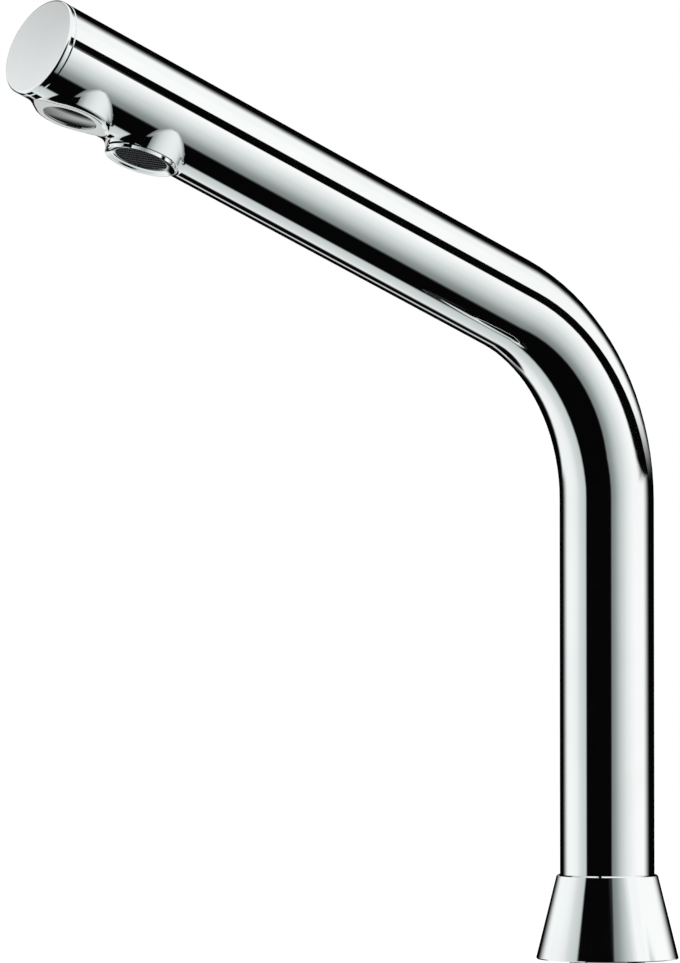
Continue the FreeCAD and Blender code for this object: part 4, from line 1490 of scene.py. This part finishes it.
@dataclass(frozen=True)
class Studio:
    """A white studio with black flags beside and behind the camera, and a plain pale floor."""

    floor_drop: float = -62.0 * MM
    floor_half: float = 3.0
    floor_colour: tuple[float, float, float] = (243, 244, 244)
    floor_lift: float = 0.24  # the camera sees the open floor as white
    ambient: Colour = (0.85, 0.85, 0.85, 1.0)  # the even light on dull surfaces
    black: float = 4.0  # the grey that the chrome shows of a flag
    horizon_foot: float = 3.0  # degrees from level within which the horizon's line is full
    horizon_top: float = 11.0  # and where it has gone
    horizon_middle: Disc = Disc(174.5, 0, 47.5, 76)
    lamp_power: float = 18.0
    lamp_size: float = 1.4
    lamp_place: tuple[float, float, float] = (-0.4, -1.2, 2.2)

    def build(self) -> None:
        """Makes the floor, the lamp and the world."""
        self.floor()
        self.lamp()
        self.world()
        bpy.context.scene.view_settings.view_transform = "Standard"

    def floor(self) -> None:
        """The floor: pale, white to the camera where nothing shades it, and not seen in the chrome."""
        work = bmesh.new()
        bmesh.ops.create_grid(work, x_segments=1, y_segments=1, size=self.floor_half)
        bmesh.ops.translate(work, verts=work.verts, vec=(0, 0, self.floor_drop))
        mesh = bpy.data.meshes.new("floor")
        work.to_mesh(mesh)
        work.free()
        floor = bpy.data.objects.new("floor", mesh)
        bpy.context.scene.collection.objects.link(floor)
        floor.visible_glossy = False
        made = bpy.data.materials.new("floor")
        made.use_nodes = True
        tree = Tree(made.node_tree)
        seen = tree.add("ShaderNodeLightPath").outputs["Is Camera Ray"]
        pale = tree.add("ShaderNodeBsdfDiffuse", {"Color": linear(*self.floor_colour)})
        lift = tree.add("ShaderNodeEmission", {"Strength": tree.math("MULTIPLY", seen, self.floor_lift)})
        both = tree.add("ShaderNodeAddShader", {0: pale.outputs[0], 1: lift.outputs[0]})
        tree.add("ShaderNodeOutputMaterial", {"Surface": both.outputs[0]})
        mesh.materials.append(made)

    def lamp(self) -> None:
        """One large soft lamp from above, which the chrome doesn't show."""
        data = bpy.data.lights.new("lamp", "AREA")
        data.energy, data.size = self.lamp_power, self.lamp_size
        lamp = bpy.data.objects.new("lamp", data)
        bpy.context.scene.collection.objects.link(lamp)
        lamp.location = self.lamp_place
        lamp.rotation_mode = "QUATERNION"
        lamp.rotation_quaternion = (-Vector(self.lamp_place)).to_track_quat("-Z", "Y")
        lamp.visible_glossy = False

    def world(self) -> None:
        """White to the camera, plain pale light for what is dull, and panels and flags for what is bright."""
        world = bpy.data.worlds.new("studio")
        world.use_nodes = True
        bpy.context.scene.world = world
        tree = Tree(world.node_tree)
        path = tree.add("ShaderNodeLightPath").outputs
        direction = tree.add("ShaderNodeTexCoord").outputs["Generated"]
        bright = tree.math("MAXIMUM", path["Is Glossy Ray"], path["Is Transmission Ray"])
        plain = tree.mix(path["Is Camera Ray"], self.ambient, linear(255, 255, 255))
        colour = tree.mix(bright, plain, self.reflections(tree, direction))
        sky = tree.add("ShaderNodeBackground", {"Color": colour})
        tree.add("ShaderNodeOutputWorld", {"Surface": sky.outputs[0]})

    def panels(self) -> tuple[Panel, ...]:
        """The white panels to the right and left of the camera, and the one above it.

        Returns:
            The panels.
        """
        right_side = plane(heading(8.5, -1), heading(8.5, -60))
        right_foot = plane(heading(20, -31.5), heading(72, -60.5))
        left_side = plane(heading(-49.6, -60), heading(-49.6, -1))
        left_foot = plane(heading(163, -75.5), heading(-49, -1))
        right_shades = shades(
            0, 5, 0.7, 22, 2, 60, 4.3, 132, 8, 140, 13, 155, 17, 172, 21, 186,
            28, 206, 34, 215, 40, 228, 46, 236, 53, 245, 58, 252,
        )
        left_shades = shades(
            0, 5, 0.5, 25, 2, 130, 4, 200, 8, 206, 16, 213, 21, 219, 27, 233, 35, 240, 45, 244,
        )
        return (
            Panel((right_side, right_foot), right_shades),
            Panel((left_side, left_foot), left_shades),
            Panel((heading(160, 63),), shades(0, 4, 2, 60, 4, 120, 6, 168, 9, 218, 12, 246)),
        )

    def flags(self) -> tuple[Disc | Strip, ...]:
        """The black flags: behind the tap, the thin one to its right and one beside the camera.

        Returns:
            The flags.
        """
        side_over = (heading(78, 1.5), heading(112, 2.5))
        side_under = (heading(84, 16.5), heading(112, 9.1))
        near_over = (heading(0, 3), heading(40, 3))
        near_under = (heading(0, 23), heading(40, 23))
        return (
            Disc(-147, -13, 13, 24),
            Disc(-160, -40, 7, 11.5),
            Disc(-176, -8, 18, 25),
            Disc(-152, 28, 14, 24),
            Disc(-122, 45, 4, 26, depth=0.5),
            Disc(165, 22, 15, 35),
            Strip(side_over, side_under, Disc(104, 5, 26, 34)),
            Strip(near_over, near_under, Disc(12, 12.5, 5, 8)),
        )

    def reflections(self, tree: Tree, direction: bpy.types.NodeSocket) -> bpy.types.NodeSocket:
        """What the chrome sees: white panels, the black between them, and black flags.

        Args:
            tree: the world's tree.
            direction: where a ray goes.

        Returns:
            The colour there.
        """
        first, *others = self.panels()
        lit = first.colour(tree, direction)
        for panel in others:
            lit = tree.mix(1.0, lit, panel.colour(tree, direction), "LIGHTEN")
        dark = self.horizon(tree, direction)
        for flag in self.flags():
            dark = tree.math("MAXIMUM", dark, flag.cover(tree, direction))
        return tree.mix(dark, lit, mirrored(self.black))

    def horizon(self, tree: Tree, direction: bpy.types.NodeSocket) -> bpy.types.NodeSocket:
        """The dark line where the floor ends, far behind the tap.

        Args:
            tree: the world's tree.
            direction: where a ray goes.

        Returns:
            How dark it is there, from 0 to 1.
        """
        level = tree.math("ABSOLUTE", tree.dot(direction, Vector((0, 0, 1))))
        gone, full = (math.sin(math.radians(edge)) for edge in (self.horizon_top, self.horizon_foot))
        low = tree.rise(level, gone, full)
        return tree.math("MULTIPLY", low, self.horizon_middle.cover(tree, direction))


# ---------------------------------------------------------------- the whole


def main() -> None:
    """Builds the looks in order."""
    Camera().build()
    Studio().build()
    spout = Spout()
    for part in (spout, Base(), SensorHead(spout), Outlet(spout), Valve(), DeckFixing()):
        part.build()
        LOG.info("%s done", type(part).__name__)


logging.basicConfig(level=logging.INFO, format="%(message)s")
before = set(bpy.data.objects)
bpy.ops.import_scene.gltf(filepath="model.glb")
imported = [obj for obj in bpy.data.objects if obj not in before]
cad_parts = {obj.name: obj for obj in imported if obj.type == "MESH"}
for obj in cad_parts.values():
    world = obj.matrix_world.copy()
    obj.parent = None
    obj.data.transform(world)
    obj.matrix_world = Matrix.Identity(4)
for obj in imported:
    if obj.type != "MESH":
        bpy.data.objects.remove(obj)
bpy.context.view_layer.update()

if __name__ == "__main__":
    main()
